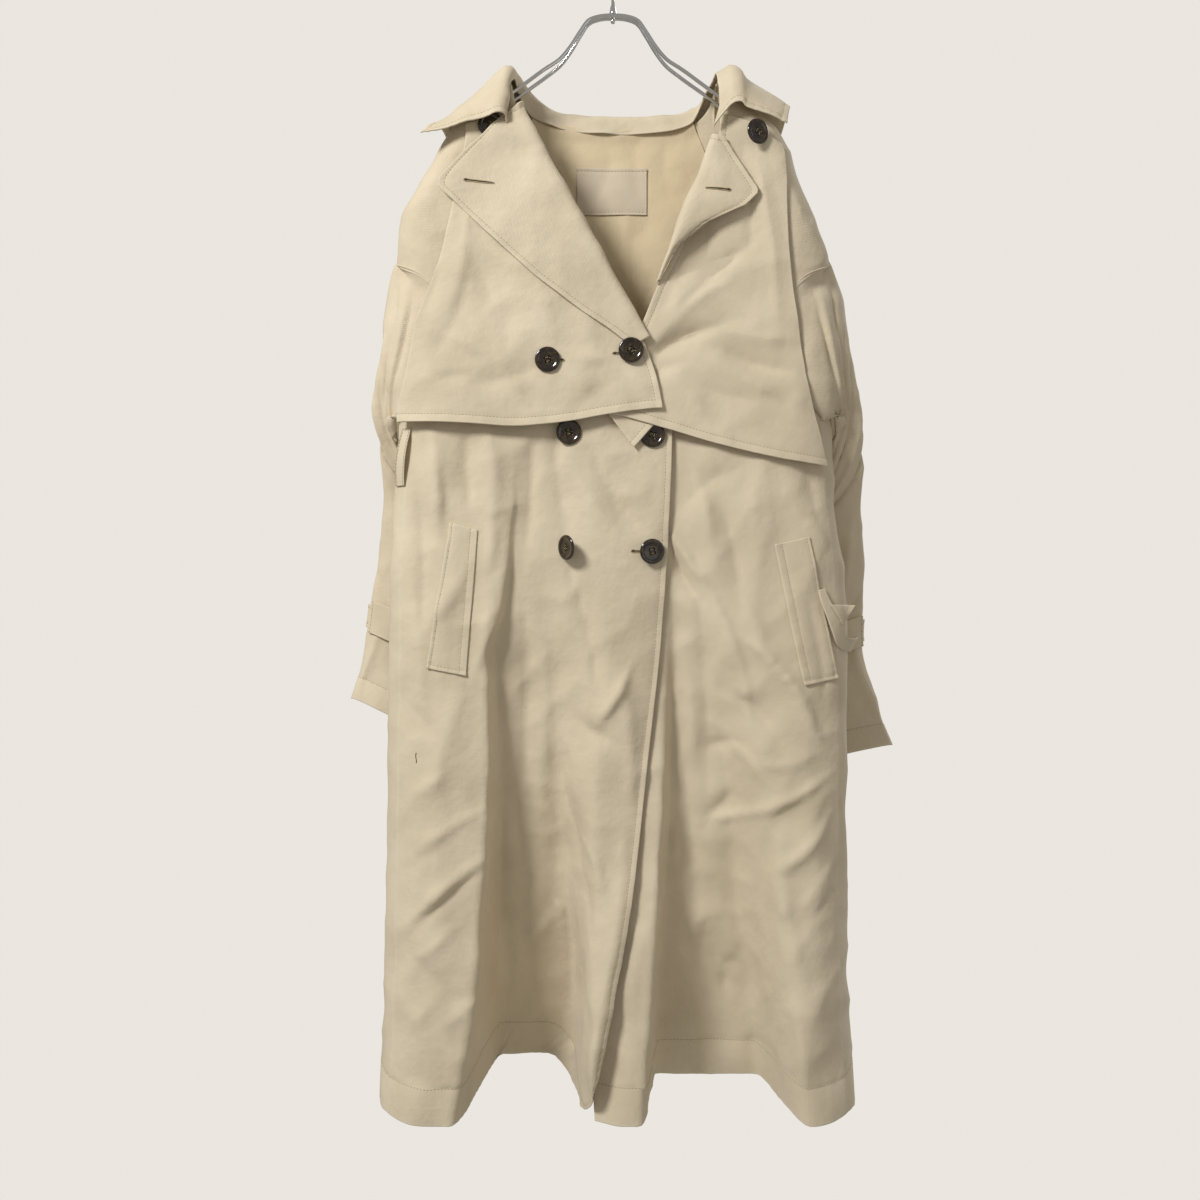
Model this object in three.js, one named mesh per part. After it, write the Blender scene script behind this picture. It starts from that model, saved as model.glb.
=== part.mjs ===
// A double-breasted trench coat with a layered cape front, hanging flat on a wire hanger.
// Millimetres, +Z up. The front faces -Y and the back faces +Y. The origin is the inside top of the
// hanger's hook, where it hangs. "Right" and "left" in names are the wearer's own: right is at -X.
import * as THREE from 'three';

// ---------- driving sizes ----------
const CLOTH = 1.5; // one layer of cotton twill, hemmed and pressed
const FACED = 2.0; // two layers sewn together: collar, lapels, welts and straps
const LINING = 1.0;
const SEAM = 0.6; // gap between two pieces along a seam
const SHOULDER_SEAM = { gap: 1.2, corner: 2.6, near: 9 }; // wider at the shoulder's outer corner
const HEM_LEVEL = -1187; // height of the hem where a fold lies in the hanger's plane
const HEM_LIFT = 0.3; // how much the hem rises for each millimetre that it lies further back
const HEM_LIFT_TOP = -900; // above this height the hem's rise has faded out
const YOKE = -300; // above this height the rows of a panel bend up to the shoulder line
const UNDERLAP = 4; // how far the under front lies behind the over front
const ARMHOLE = { top: -337, bottom: -508 };

// Sections of the body, from neck to hem: the outline at both sides, how far the front, the back and
// the side lie from the hanger's plane, and how broadly the sides round.
const SECTIONS = [
  { z: -150, left: -107, right: 109, front: -26, back: 26, side: 0, round: 30 },
  { z: -172, left: -136, right: 138, front: -27, back: 27, side: 0, round: 30 },
  { z: -194, left: -165, right: 164, front: -27, back: 27, side: 0, round: 28 },
  { z: -209, left: -175, right: 177, front: -28, back: 27, side: 0, round: 26 },
  { z: -233, left: -187, right: 188, front: -28, back: 27, side: 0, round: 27 },
  { z: -256, left: -201, right: 196, front: -29, back: 26, side: 0, round: 30 },
  { z: -292, left: -221, right: 210, front: -29, back: 25, side: 0, round: 36 },
  { z: -337, left: -225, right: 225, front: -30, back: 24, side: 0, round: 44 },
  { z: -420, left: -226, right: 230, front: -32, back: 24, side: -1, round: 52 },
  { z: -508, left: -225, right: 229, front: -35, back: 24, side: -3, round: 55 },
  { z: -600, left: -229, right: 232, front: -39, back: 24, side: -5, round: 57 },
  { z: -692, left: -232, right: 243, front: -44, back: 24, side: -8, round: 58 },
  { z: -850, left: -233, right: 242, front: -55, back: 25, side: -13, round: 58 },
  { z: -1000, left: -234, right: 241, front: -69, back: 32, side: -20, round: 58 },
  { z: -1120, left: -236, right: 243, front: -81, back: 40, side: -28, round: 58 },
  { z: -1215, left: -240, right: 249, front: -89, back: 45, side: -35, round: 58 },
];

// Where the side edges of the fronts and of the back lie, as a turn round the side in degrees: 0 at the
// outline, + towards the piece's own side. They part round the armhole.
const SIDE_EDGES = [
  { z: -150, front: 0, back: 0 },
  { z: -337, front: 0, back: 0 },
  { z: -364, front: 52, back: 36 },
  { z: -402, front: 72, back: 54 },
  { z: -442, front: 70, back: 52 },
  { z: -480, front: 54, back: 22 },
  { z: -508, front: 41, back: -41 },
  { z: -1215, front: 41, back: -41 },
];

// Long folds that fall back between the columns of the skirt: the x of both flanks and how softly each
// turns, where the fold starts and at the hem, how deep it is at the hem and how it grows.
const SKIRT_FOLDS = [
  { start: -600, leftStart: -108, leftHem: -140, rightStart: -52, rightHem: -31,
    turnLeftStart: 9, turnLeftHem: 24, turnRightStart: 22, turnRightHem: 15, depth: 118, growth: 1.6 },
  { start: -660, leftStart: 64, leftHem: 47, rightStart: 112, rightHem: 172,
    turnLeftStart: 7, turnLeftHem: 14, turnRightStart: 26, turnRightHem: 24, depth: 84, growth: 1.3 },
];

// Front edges of the body below the V: the right front lies over the left one.
const FRONT_EDGES = [
  { z: -404, over: 20, under: 44 },
  { z: -430, over: 32, under: 30 },
  { z: -470, over: 50, under: -20 },
  { z: -518, over: 60, under: -56 },
  { z: -620, over: 56, under: -60 },
  { z: -733, over: 48.6, under: -53 },
  { z: -855, over: 35, under: -44 },
  { z: -975, over: 20.7, under: -35 },
  { z: -1085, over: -2.5, under: -28 },
  { z: -1187, over: -33, under: -18.6 },
  { z: -1215, over: -41, under: -17 },
];

// Neckline of the back, from one shoulder seam's end to the other.
const BACK_NECK = [
  { x: -107, z: -150 }, { x: -99, z: -168 }, { x: -84, z: -178 }, { x: -50, z: -189 }, { x: 3, z: -194 },
  { x: 56, z: -193 }, { x: 88, z: -183 }, { x: 101.5, z: -169 }, { x: 109, z: -150 },
];
const SHOULDERS = { left: { outer: -175, neck: -107 }, right: { outer: 177, neck: 109 } };

// Capes: the side and front edge of each by height, and how far each stands off the body.
const CAPE_SHAPES = [
  { z: -165, rightSide: -140, rightFront: -110, rightLift: 2.3, leftSide: 150, leftFront: 116, leftLift: 2.3 },
  { z: -190, rightSide: -150, rightFront: -102, rightLift: 2.4, leftSide: 163, leftFront: 112, leftLift: 2.4 },
  { z: -221, rightSide: -152, rightFront: -88, rightLift: 3.0, leftSide: 173, leftFront: 108, leftLift: 2.8 },
  { z: -247, rightSide: -157, rightFront: -74, rightLift: 4.4, leftSide: 176, leftFront: 98, leftLift: 3.4 },
  { z: -283, rightSide: -164, rightFront: -54, rightLift: 5.6, leftSide: 178, leftFront: 83, leftLift: 4.2 },
  { z: -329, rightSide: -175, rightFront: -27, rightLift: 7.4, leftSide: 180, leftFront: 66, leftLift: 5.0 },
  { z: -372, rightSide: -188, rightFront: -1.5, rightLift: 9.0, leftSide: 184, leftFront: 45, leftLift: 5.4 },
  { z: -404, rightSide: -198, rightFront: 18, rightLift: 10.8, leftSide: 188, leftFront: 32, leftLift: 6.4 },
  { z: -430, rightSide: -203, rightFront: 31, rightLift: 12, leftSide: 190.5, leftFront: 20, leftLift: 7.4 },
  { z: -467, rightSide: -208.5, rightFront: 44, rightLift: 12.8, leftSide: 196, leftFront: 3, leftLift: 8.4 },
  { z: -500, rightSide: -213.5, rightFront: 50, rightLift: 12.8, leftSide: 203, leftFront: -6, leftLift: 8.4 },
  { z: -556, rightSide: -216, rightFront: 54, rightLift: 12.8, leftSide: 215, leftFront: -12, leftLift: 8.4 },
];
const CAPE_HEMS = [
  { x: -222, right: -509, left: -500, rightTop: -222, leftTop: -190 },
  { x: -152, right: -512, left: -500, rightTop: -203, leftTop: -190 },
  { x: -100, right: -515, left: -500, rightTop: -190, leftTop: -190 },
  { x: -45, right: -510, left: -500, rightTop: -190, leftTop: -190 },
  { x: -6, right: -503, left: -502, rightTop: -190, leftTop: -190 },
  { x: 50, right: -497, left: -516, rightTop: -190, leftTop: -190 },
  { x: 100, right: -497, left: -531, rightTop: -190, leftTop: -190 },
  { x: 140, right: -497, left: -541, rightTop: -190, leftTop: -200 },
  { x: 172, right: -497, left: -548, rightTop: -190, leftTop: -222 },
  { x: 220, right: -497, left: -556, rightTop: -190, leftTop: -240 },
];

// Lapels, from the V up to the gorge: the roll line, the outer edge, how far it lies off the cape,
// and where its roll is rooted, + in front of the body's cloth.
const RIGHT_LAPEL = [
  { t: 0, rollX: 36, rollZ: -424, edgeX: 19, edgeZ: -434, stand: 1.2, root: 13.4 },
  { t: 0.1, rollX: 24, rollZ: -402, edgeX: -4, edgeZ: -416, stand: 3, root: 8 },
  { t: 0.2, rollX: 9, rollZ: -374, edgeX: -30, edgeZ: -399, stand: 4.5, root: -1.5 },
  { t: 0.4, rollX: -21, rollZ: -318, edgeX: -80, edgeZ: -361, stand: 7, root: -1.5 },
  { t: 0.6, rollX: -49, rollZ: -266, edgeX: -128, edgeZ: -317, stand: 6, root: -1.5 },
  { t: 0.78, rollX: -70, rollZ: -228, edgeX: -163, edgeZ: -283, stand: 3, root: -1.5 },
  { t: 0.86, rollX: -79, rollZ: -211, edgeX: -176, edgeZ: -264, stand: 3.2, root: -1.5 },
  { t: 0.93, rollX: -87, rollZ: -195, edgeX: -150, edgeZ: -229, stand: 4.6, root: -1.5 },
  { t: 1, rollX: -94, rollZ: -180, edgeX: -115, edgeZ: -197, stand: 4.4, root: -1.5 },
];
const LEFT_LAPEL = [
  { t: 0, rollX: 45, rollZ: -368, edgeX: 50, edgeZ: -356, stand: 3, root: 5 },
  { t: 0.2, rollX: 53, rollZ: -343, edgeX: 68, edgeZ: -327, stand: 9, root: -1.5 },
  { t: 0.4, rollX: 62, rollZ: -316, edgeX: 96, edgeZ: -306, stand: 12, root: -1.5 },
  { t: 0.62, rollX: 74, rollZ: -284, edgeX: 135, edgeZ: -288, stand: 9, root: -1.5 },
  { t: 0.74, rollX: 81, rollZ: -266, edgeX: 147, edgeZ: -274, stand: 6, root: -1.5 },
  { t: 0.87, rollX: 92, rollZ: -240, edgeX: 131, edgeZ: -246, stand: 4, root: -1.5 },
  { t: 1, rollX: 103, rollZ: -214, edgeX: 114, edgeZ: -218, stand: 3, root: -1.5 },
];
const ROLL = { width: 4, base: 4.5, front: 8 }; // the roll's depth, its root and the front's edge behind it

// Collar, from the right wing's front end round the back neck to the left wing's: where it is sewn on,
// its fold and its outer edge.
const COLLAR = [
  { t: 0.0, base: [-112, -37, -189], fold: [-114, -43, -183], edge: [-196, -37, -216] },
  { t: 0.07, base: [-112, -32, -169], fold: [-110, -34, -163], edge: [-187, -14, -200] },
  { t: 0.14, base: [-107, -7, -146], fold: [-105, -9, -139], edge: [-180, 6, -196] },
  { t: 0.21, base: [-104, 16, -150], fold: [-99, 20, -141], edge: [-172, 36, -206] },
  { t: 0.3, base: [-86, 28, -175], fold: [-82, 32, -158], edge: [-130, 38, -236] },
  { t: 0.4, base: [-50, 28, -188], fold: [-49, 32, -174], edge: [-65, 38, -250] },
  { t: 0.5, base: [3, 27.6, -193.3], fold: [3, 32.5, -177], edge: [3, 38, -255] },
  { t: 0.6, base: [56, 28, -191.5], fold: [58, 32, -176], edge: [72, 38, -250] },
  { t: 0.7, base: [89, 28, -180.3], fold: [92, 32, -166], edge: [138, 38, -236] },
  { t: 0.79, base: [106, 16, -150], fold: [117, 20, -139], edge: [176, 36, -204] },
  { t: 0.86, base: [109, -7, -146], fold: [126, -8, -138], edge: [184, 6, -176] },
  { t: 0.93, base: [112, -32, -178], fold: [127, -34, -158], edge: [180, -18, -187] },
  { t: 1.0, base: [107, -36, -207], fold: [126, -43, -183], edge: [177, -34, -204] },
];

// Sleeves, ring by ring below the armhole: the outer and inner ends of each flattened ring and the
// middles of its front and back.
const RIGHT_SLEEVE = [
  { ring: 0.5, outer: [-231, 1, -352], front: [-199, -31, -430], inner: [-232, -15, -500], back: [-226, 24, -428] },
  { ring: 1, outer: [-236, 4, -372], front: [-216, -28, -445], inner: [-239, 0, -508], back: [-230, 36, -448] },
  { ring: 2, outer: [-241, 8, -418], front: [-232, -9, -485], inner: [-226, 34, -534], back: [-226, 52, -480] },
  { ring: 3, outer: [-243, 14, -465], front: [-236, 9, -520], inner: [-196, 46, -562], back: [-218, 61, -518] },
  { ring: 4, outer: [-241, 26, -525], front: [-222, 28, -562], inner: [-162, 48, -602], back: [-206, 64, -560] },
  { ring: 5, outer: [-244, 40, -590], front: [-192, 31, -612], inner: [-136, 48, -650], back: [-190, 65, -612] },
  { ring: 6, outer: [-251, 44, -652], front: [-190, 31, -672], inner: [-128, 47, -702], back: [-190, 63, -672] },
  { ring: 7, outer: [-258, 44, -692], front: [-200, 31, -714], inner: [-140, 45, -740], back: [-200, 59, -714] },
  { ring: 8, outer: [-263, 44, -726], front: [-204, 31, -752], inner: [-144, 45, -778], back: [-204, 59, -752] },
  { ring: 9, outer: [-270, 45, -762], front: [-208, 31, -790], inner: [-145, 47, -822], back: [-208, 64, -790] },
  { ring: 10, outer: [-280, 47, -799], front: [-214, 31, -828], inner: [-148, 49, -868], back: [-214, 68, -828] },
];
const LEFT_SLEEVE = [
  { ring: 0.5, outer: [232, 1, -353], front: [203, -32, -430], inner: [237, -15, -500], back: [232, 24, -428] },
  { ring: 1, outer: [239, 4, -374], front: [220, -29, -446], inner: [244, 0, -509], back: [235, 36, -450] },
  { ring: 2, outer: [247, 8, -424], front: [237, -9, -490], inner: [232, 34, -540], back: [236, 52, -486] },
  { ring: 3, outer: [255, 14, -478], front: [242, 9, -532], inner: [208, 46, -576], back: [234, 61, -530] },
  { ring: 4, outer: [261, 26, -542], front: [236, 28, -580], inner: [182, 48, -622], back: [224, 64, -578] },
  { ring: 5, outer: [266, 40, -608], front: [212, 31, -632], inner: [160, 48, -672], back: [212, 65, -632] },
  { ring: 6, outer: [269, 44, -668], front: [212, 31, -690], inner: [152, 47, -716], back: [212, 63, -690] },
  { ring: 7, outer: [267, 44, -708], front: [216, 31, -727], inner: [164, 45, -750], back: [216, 59, -727] },
  { ring: 8, outer: [267, 44, -742], front: [218, 31, -762], inner: [166, 45, -786], back: [218, 59, -762] },
  { ring: 9, outer: [280, 46, -792], front: [220, 31, -808], inner: [158, 47, -830], back: [220, 66, -808] },
  { ring: 10, outer: [300, 49, -850], front: [226, 31, -862], inner: [152, 49, -886], back: [226, 70, -862] },
];
const SLEEVE_ROWS = [0, 0.5, 1, 1.5, 2, 2.5, 3, 3.5, 4, 5, 6, 7, 8, 9, 10];
const COLLAR_BEND = 4; // how far the fall stands off the stand at the fold
// Straps round the cuffs, by ring, and the keepers that hold them: how far each stands off the cloth below.
const CUFF_STRAP = { from: 7.15, to: 7.85, lift: 0.7, keeperMore: 0.12, keeperFirst: 1, keeperLast: 4 };

// Pocket welts: corners of each.
const WELTS = {
  right: { topIn: [-139, -621], topOut: [-167, -613], lowIn: [-150, -769], lowOut: [-189, -761] },
  left: { topIn: [165, -636], topOut: [200, -628], lowIn: [193, -779], lowOut: [228, -772] },
};
const WELT_LIFT = 2.9;
const BELT_LOOP = { topX: -212, lowX: -219, top: -515, low: -574, width: 9, arch: 4, foot: 2.3 };

// Buttons: where each sits, how far off the body's cloth, and how it leans on its thread, in degrees.
const BUTTON = { radius: 13, edge: 0.8, thickness: 3, hole: 1.2, holes: 3.1 };
const BUTTONS = [
  { name: 'button_cape_outer', x: -67, z: -448, off: 13.3, yaw: 0, pitch: 0 },
  { name: 'button_cape_front', x: 18, z: -438.5, off: 15.5, yaw: 0, pitch: 0 },
  { name: 'button_waist_outer', x: -45.5, z: -520, off: 0.8, yaw: 0, pitch: 0 },
  { name: 'button_waist_front', x: 40, z: -523, off: 0.8, yaw: 0, pitch: 0 },
  { name: 'button_skirt_outer', x: -46.5, z: -639, off: 9.4, yaw: -52, pitch: 4 },
  { name: 'button_skirt_front', x: 38.5, z: -643, off: 3.9, yaw: 14, pitch: 4 },
  { name: 'button_shoulder_left', x: 147, z: -213, off: 9, yaw: 30, pitch: 0 },
  { name: 'button_shoulder_right', x: -126, z: -204, off: 3, yaw: 0, pitch: 0 },
];

// Hanger: one side of its two bent wires, from the crest out to the end, and the hook in the middle.
const HANGER_WIRE = 4;
const HANGER = [
  { x: 0, z: -80, apart: 4.3 }, { x: 14, z: -81, apart: 4.4 }, { x: 25, z: -85, apart: 5 },
  { x: 34, z: -97, apart: 6 }, { x: 44, z: -113, apart: 7.5 }, { x: 56, z: -128, apart: 9.5 },
  { x: 71, z: -139, apart: 12 }, { x: 100, z: -160, apart: 11.6 }, { x: 140, z: -189, apart: 17 },
  { x: 160, z: -204.5, apart: 17 }, { x: 168, z: -211.5, apart: 13 }, { x: 171, z: -214, apart: 6 },
];
const HOOK = { wire: 3.4, inside: 19, neck: -50, end: -87 };
const CONE = { top: -68, low: -77.2, thin: 5.2, wide: 8 };

const COLOURS = { cloth: 0xc4b08a, inside: 0xb7a27c, label: 0xd9c3a5, button: 0x3b2519, wire: 0xc8cacc };

// ---------- tools ----------
const clamp = (v, low, high) => Math.min(Math.max(v, low), high);
const mix = (a, b, t) => a + (b - a) * t;
const smooth = (x, from, to) => {
  const t = clamp((x - from) / (to - from), 0, 1);
  return t * t * (3 - 2 * t);
};
const range = (count) => Array.from({ length: count }, (_, k) => k);
const point = (x, y, z) => new THREE.Vector3(x, y, z);

// One column of a table as a smooth function of its key column, without overshoot.
function column(rows, name, key = 'z', part = null) {
  const value = (row) => (part === null ? row[name] : row[name][part]);
  const points = rows.map((row) => [row[key], value(row)]).sort((a, b) => a[0] - b[0]);
  const slopes = points.slice(1).map((p, i) => (p[1] - points[i][1]) / (p[0] - points[i][0]));
  const tangents = points.map((p, i) => {
    const before = slopes[Math.max(i - 1, 0)];
    const after = slopes[Math.min(i, slopes.length - 1)];
    return before * after <= 0 ? 0 : (2 * before * after) / (before + after);
  });
  return (at) => {
    const v = clamp(at, points[0][0], points[points.length - 1][0]);
    let i = 0;
    while (i < points.length - 2 && points[i + 1][0] < v) i++;
    const [[x0, y0], [x1, y1]] = [points[i], points[i + 1]];
    const t = (v - x0) / (x1 - x0);
    return (2 * t ** 3 - 3 * t * t + 1) * y0 + (t ** 3 - 2 * t * t + t) * (x1 - x0) * tangents[i]
      + (3 * t * t - 2 * t ** 3) * y1 + (t ** 3 - t * t) * (x1 - x0) * tangents[i + 1];
  };
}
const columns = (rows, names, key) => Object.fromEntries(names
  .map((name) => [name, column(rows, name, key)]));

// Direction of a line of points at one of them, by its two neighbours; an end uses the next two.
function heading(before, here, after, beyond) {
  if (!before || !after) {
    const [next, far, way] = before ? [before, beyond, -1] : [after, beyond, 1];
    const [h1, h2] = [next.distanceTo(here), far.distanceTo(next)];
    return next.clone().sub(here).multiplyScalar(way * (1 / h1 + 1 / (h1 + h2)))
      .addScaledVector(far.clone().sub(next), (-way * h1) / h2 / (h1 + h2));
  }
  const [h1, h2] = [here.distanceTo(before), after.distanceTo(here)];
  return here.clone().sub(before).multiplyScalar(h2 / h1).addScaledVector(after.clone().sub(here), h1 / h2);
}
// Unit normals of a grid of points; round: each row closes on itself, as on a sleeve.
function normals(rows, round) {
  const n = rows[0].length;
  return rows.map((row, i) => row.map((p, j) => {
    const up = heading(rows[i - 1]?.[j], p, rows[i + 1]?.[j], (rows[i + 2] ?? rows[i - 2])?.[j] ?? p);
    const across = round ? heading(row[(j + n - 1) % n], p, row[(j + 1) % n])
      : heading(row[j - 1], p, row[j + 1], row[j + 2] ?? row[j - 2]);
    return up.cross(across).normalize();
  }));
}
function moved(rows, distance, round = false) {
  const way = normals(rows, round);
  return rows.map((row, i) => row.map((p, j) => p.clone().addScaledVector(way[i][j], distance)));
}

// A closed wall of one thickness with one face on a grid of points.
function wall(rows, thickness, round = false) {
  const m = rows.length;
  const n = rows[0].length;
  const faces = [];
  const at = (i, j, layer) => layer * m * n + i * n + (j % n);
  const quad = (a, b, c, d) => faces.push(a, b, c, a, c, d);
  const last = round ? n : n - 1;
  for (let j = 0; j < last; j++) {
    for (let i = 0; i < m - 1; i++) {
      quad(at(i, j, 0), at(i, j + 1, 0), at(i + 1, j + 1, 0), at(i + 1, j, 0));
      quad(at(i, j, 1), at(i + 1, j, 1), at(i + 1, j + 1, 1), at(i, j + 1, 1));
    }
    quad(at(0, j, 0), at(0, j, 1), at(0, j + 1, 1), at(0, j + 1, 0));
    quad(at(m - 1, j, 0), at(m - 1, j + 1, 0), at(m - 1, j + 1, 1), at(m - 1, j, 1));
  }
  for (let i = 0; i < m - 1 && !round; i++) {
    quad(at(i, 0, 0), at(i + 1, 0, 0), at(i + 1, 0, 1), at(i, 0, 1));
    quad(at(i, n - 1, 0), at(i, n - 1, 1), at(i + 1, n - 1, 1), at(i + 1, n - 1, 0));
  }
  return solid([...rows.flat(), ...moved(rows, thickness, round).flat()], faces);
}

// A geometry from points and faces, turned right side out.
function solid(points, faces) {
  let volume = 0;
  for (let k = 0; k < faces.length; k += 3) {
    const [a, b, c] = [points[faces[k]], points[faces[k + 1]], points[faces[k + 2]]];
    volume += a.dot(b.clone().cross(c));
  }
  const geometry = new THREE.BufferGeometry().setFromPoints(points);
  geometry.setIndex(volume < 0 ? [...faces].reverse() : faces);
  geometry.computeVertexNormals();
  return geometry;
}

// A rod along a path with a radius at each point; a closed path has no ends.
function rod(path, radii, sides, closed = false) {
  const m = path.length;
  const points = [];
  const faces = [];
  path.forEach((p, i) => {
    const before = closed ? path[(i + m - 1) % m] : path[Math.max(i - 1, 0)];
    const after = closed ? path[(i + 1) % m] : path[Math.min(i + 1, m - 1)];
    const along = after.clone().sub(before).normalize();
    const flat = point(0, 1, 0).addScaledVector(along, -along.y).normalize();
    const upright = along.clone().cross(flat);
    range(sides).forEach((j) => {
      const a = (2 * Math.PI * j) / sides;
      points.push(p.clone().addScaledVector(flat, radii[i] * Math.cos(a))
        .addScaledVector(upright, radii[i] * Math.sin(a)));
    });
  });
  range(closed ? m : m - 1).forEach((i) => range(sides).forEach((j) => {
    const [a, b] = [i * sides + j, i * sides + ((j + 1) % sides)];
    const [d, c] = [((i + 1) % m) * sides + j, ((i + 1) % m) * sides + ((j + 1) % sides)];
    faces.push(a, b, c, a, c, d);
  }));
  (closed ? [] : [0, m - 1]).forEach((end) => {
    points.push(path[end].clone());
    range(sides).forEach((j) => {
      const [a, b] = [end * sides + j, end * sides + ((j + 1) % sides)];
      faces.push(points.length - 1, end ? a : b, end ? b : a);
    });
  });
  return solid(points, faces);
}

const group = new THREE.Group();
function add(name, geometry, colour) {
  const mesh = new THREE.Mesh(geometry, new THREE.MeshStandardMaterial({ color: colour }));
  mesh.name = name;
  group.add(mesh);
}

// ---------- the body's form ----------
const body = columns(SECTIONS, ['left', 'right', 'front', 'back', 'side', 'round']);
const sideEdge = columns(SIDE_EDGES, ['front', 'back']);
const outline = (hand, z) => (hand < 0 ? body.left(z) : body.right(z));
const backNeck = column(BACK_NECK, 'z', 'x');
// Height of the top line: the back's neckline, or on a shoulder the height where the outline passes x.
function topLine(x) {
  if (x >= SHOULDERS.left.neck && x <= SHOULDERS.right.neck) return backNeck(x);
  let [low, high] = [-230, -150];
  range(30).forEach(() => {
    const middle = (low + high) / 2;
    if (Math.abs(outline(Math.sign(x), middle)) > Math.abs(x)) low = middle;
    else high = middle;
  });
  return low;
}

// Share of the full depth that is reached at a distance in from the outline.
function share(x, z) {
  const inward = Math.min(x - body.left(z), body.right(z) - x);
  return Math.sqrt(1 - clamp(1 - inward / body.round(z), 0, 1) ** 2);
}
function skirtFolds(x, z) {
  return SKIRT_FOLDS.reduce((sum, fold) => {
    const t = clamp((fold.start - z) / (fold.start - HEM_LEVEL), 0, 1.05);
    const left = mix(fold.leftStart, fold.leftHem, t);
    const right = mix(fold.rightStart, fold.rightHem, t);
    const turnLeft = mix(fold.turnLeftStart, fold.turnLeftHem, t);
    const turnRight = mix(fold.turnRightStart, fold.turnRightHem, t);
    return sum + fold.depth * t ** fold.growth * smooth(x, left - turnLeft, left + turnLeft)
      * (1 - smooth(x, right - turnRight, right + turnRight));
  }, 0);
}
const frontDepth = (x, z) => mix(body.side(z), body.front(z), share(x, z)) + skirtFolds(x, z) * share(x, z);
const backDepth = (x, z) => mix(body.side(z), body.back(z), share(x, z));

// Half the gap along the shoulder seam.
function shoulderGap(x) {
  const corner = x < 0 ? SHOULDERS.left.outer : SHOULDERS.right.outer;
  const away = clamp(Math.abs(x - corner) / SHOULDER_SEAM.near, 0, 1);
  return mix(SHOULDER_SEAM.corner, SHOULDER_SEAM.gap, away) / 2;
}
// A point on a side of the body, with the hem rising where it lies further back.
function settled(x, y, z) {
  const fade = z > HEM_LIFT_TOP ? 0 : ((HEM_LIFT_TOP - z) / (HEM_LIFT_TOP - HEM_LEVEL)) ** 2;
  return point(x, y, z + HEM_LIFT * y * fade);
}
// A point at a distance off the front, + outwards, square to the cloth.
function off(x, z, distance, depth = frontDepth, way = -1) {
  const slopeX = (depth(x + 1, z) - depth(x - 1, z)) / 2;
  const slopeZ = (depth(x, z + 1) - depth(x, z - 1)) / 2;
  const step = distance / Math.hypot(1, slopeX, slopeZ);
  return settled(x - way * slopeX * step, depth(x, z) + way * step, z - way * slopeZ * step);
}
// A point on the side, at a turn in degrees towards the front (-1) or the back (+1).
function onSide(hand, turn, way, z) {
  const facing = turn < 0 ? -way : way;
  const x = outline(hand, z) - hand * body.round(z) * (1 - Math.cos(THREE.MathUtils.degToRad(turn)));
  return { x, y: facing < 0 ? frontDepth(x, z) : backDepth(x, z) };
}

// ---------- fronts and back ----------
const armholeRows = range(9).map((k) => (1 - Math.cos((Math.PI * k) / 8)) / 2)
  .map((t) => mix(ARMHOLE.bottom, ARMHOLE.top, t));
const BODY_ROWS = [HEM_LEVEL, -1160, -1130, -1092, -1045, -990, -930, -865, -800, -735, -670, -610, -555,
  ...armholeRows, YOKE];
const YOKE_ROWS = [0.25, 0.5, 0.7, 0.83, 0.91, 0.96, 0.988, 1];
const SIDE_TURNS = 4; // columns round each side

const rightRoll = column(RIGHT_LAPEL, 'rollX', 'rollZ');
const leftRoll = column(LEFT_LAPEL, 'rollX', 'rollZ');
const frontEdges = columns(FRONT_EDGES, ['over', 'under']);
const overEdge = (z) => (z < -404 ? frontEdges.over(z)
  : mix(rightRoll(z) - ROLL.front, SHOULDERS.left.neck, smooth(z, -180, -150)));
const underEdge = (z) => (z < -404 ? frontEdges.under(z)
  : mix(leftRoll(Math.max(z, -368)) + ROLL.front, z < -368 ? 45 : SHOULDERS.right.neck,
    z < -368 ? smooth(z, -368, -404) : smooth(z, -214, -150)));

// x of a fold's flanks at a height: before, on and after each of the two.
function flanks(fold, z) {
  const t = clamp((fold.start - z) / (fold.start - HEM_LEVEL), 0, 1.05);
  return ['left', 'right'].flatMap((side) => {
    const x = mix(fold[`${side}Start`], fold[`${side}Hem`], t);
    const turn = mix(fold[`turn${side === 'left' ? 'Left' : 'Right'}Start`],
      fold[`turn${side === 'left' ? 'Left' : 'Right'}Hem`], t);
    return [x - turn, x, x + turn];
  });
}
// Columns of a front from its side to its front edge: in the skirt they follow the folds.
const FOLD_COLUMNS = { right: [2, 2, 2, 2, 2, 2, 3], left: [2, 2, 2, 2, 2, 2, 3, 2] };
function frontColumns(hand, from, to, z) {
  const [first, second] = SKIRT_FOLDS.map((fold) => flanks(fold, z));
  const knots = hand < 0 ? [from, ...first, to] : [from, ...[...second].reverse(), first[5], to];
  range(knots.length - 2).forEach((k) => {
    const at = knots.length - 2 - k; // each at least a little short of the next
    knots[at] = hand < 0 ? Math.min(knots[at], knots[at + 1] - 3) : Math.max(knots[at], knots[at + 1] + 3);
  });
  knots[1] = hand < 0 ? Math.max(knots[1], from + 3) : Math.min(knots[1], from - 3);
  const counts = hand < 0 ? FOLD_COLUMNS.right : FOLD_COLUMNS.left;
  const total = counts.reduce((sum, count) => sum + count, 0);
  const aligned = counts
    .flatMap((count, i) => range(count).map((k) => mix(knots[i], knots[i + 1], (k + 1) / count)));
  const even = range(total).map((k) => mix(from, to, (k + 1) / total));
  const share = smooth(z, -600, ARMHOLE.bottom);
  return aligned.map((x, k) => mix(x, even[k], share));
}
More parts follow.
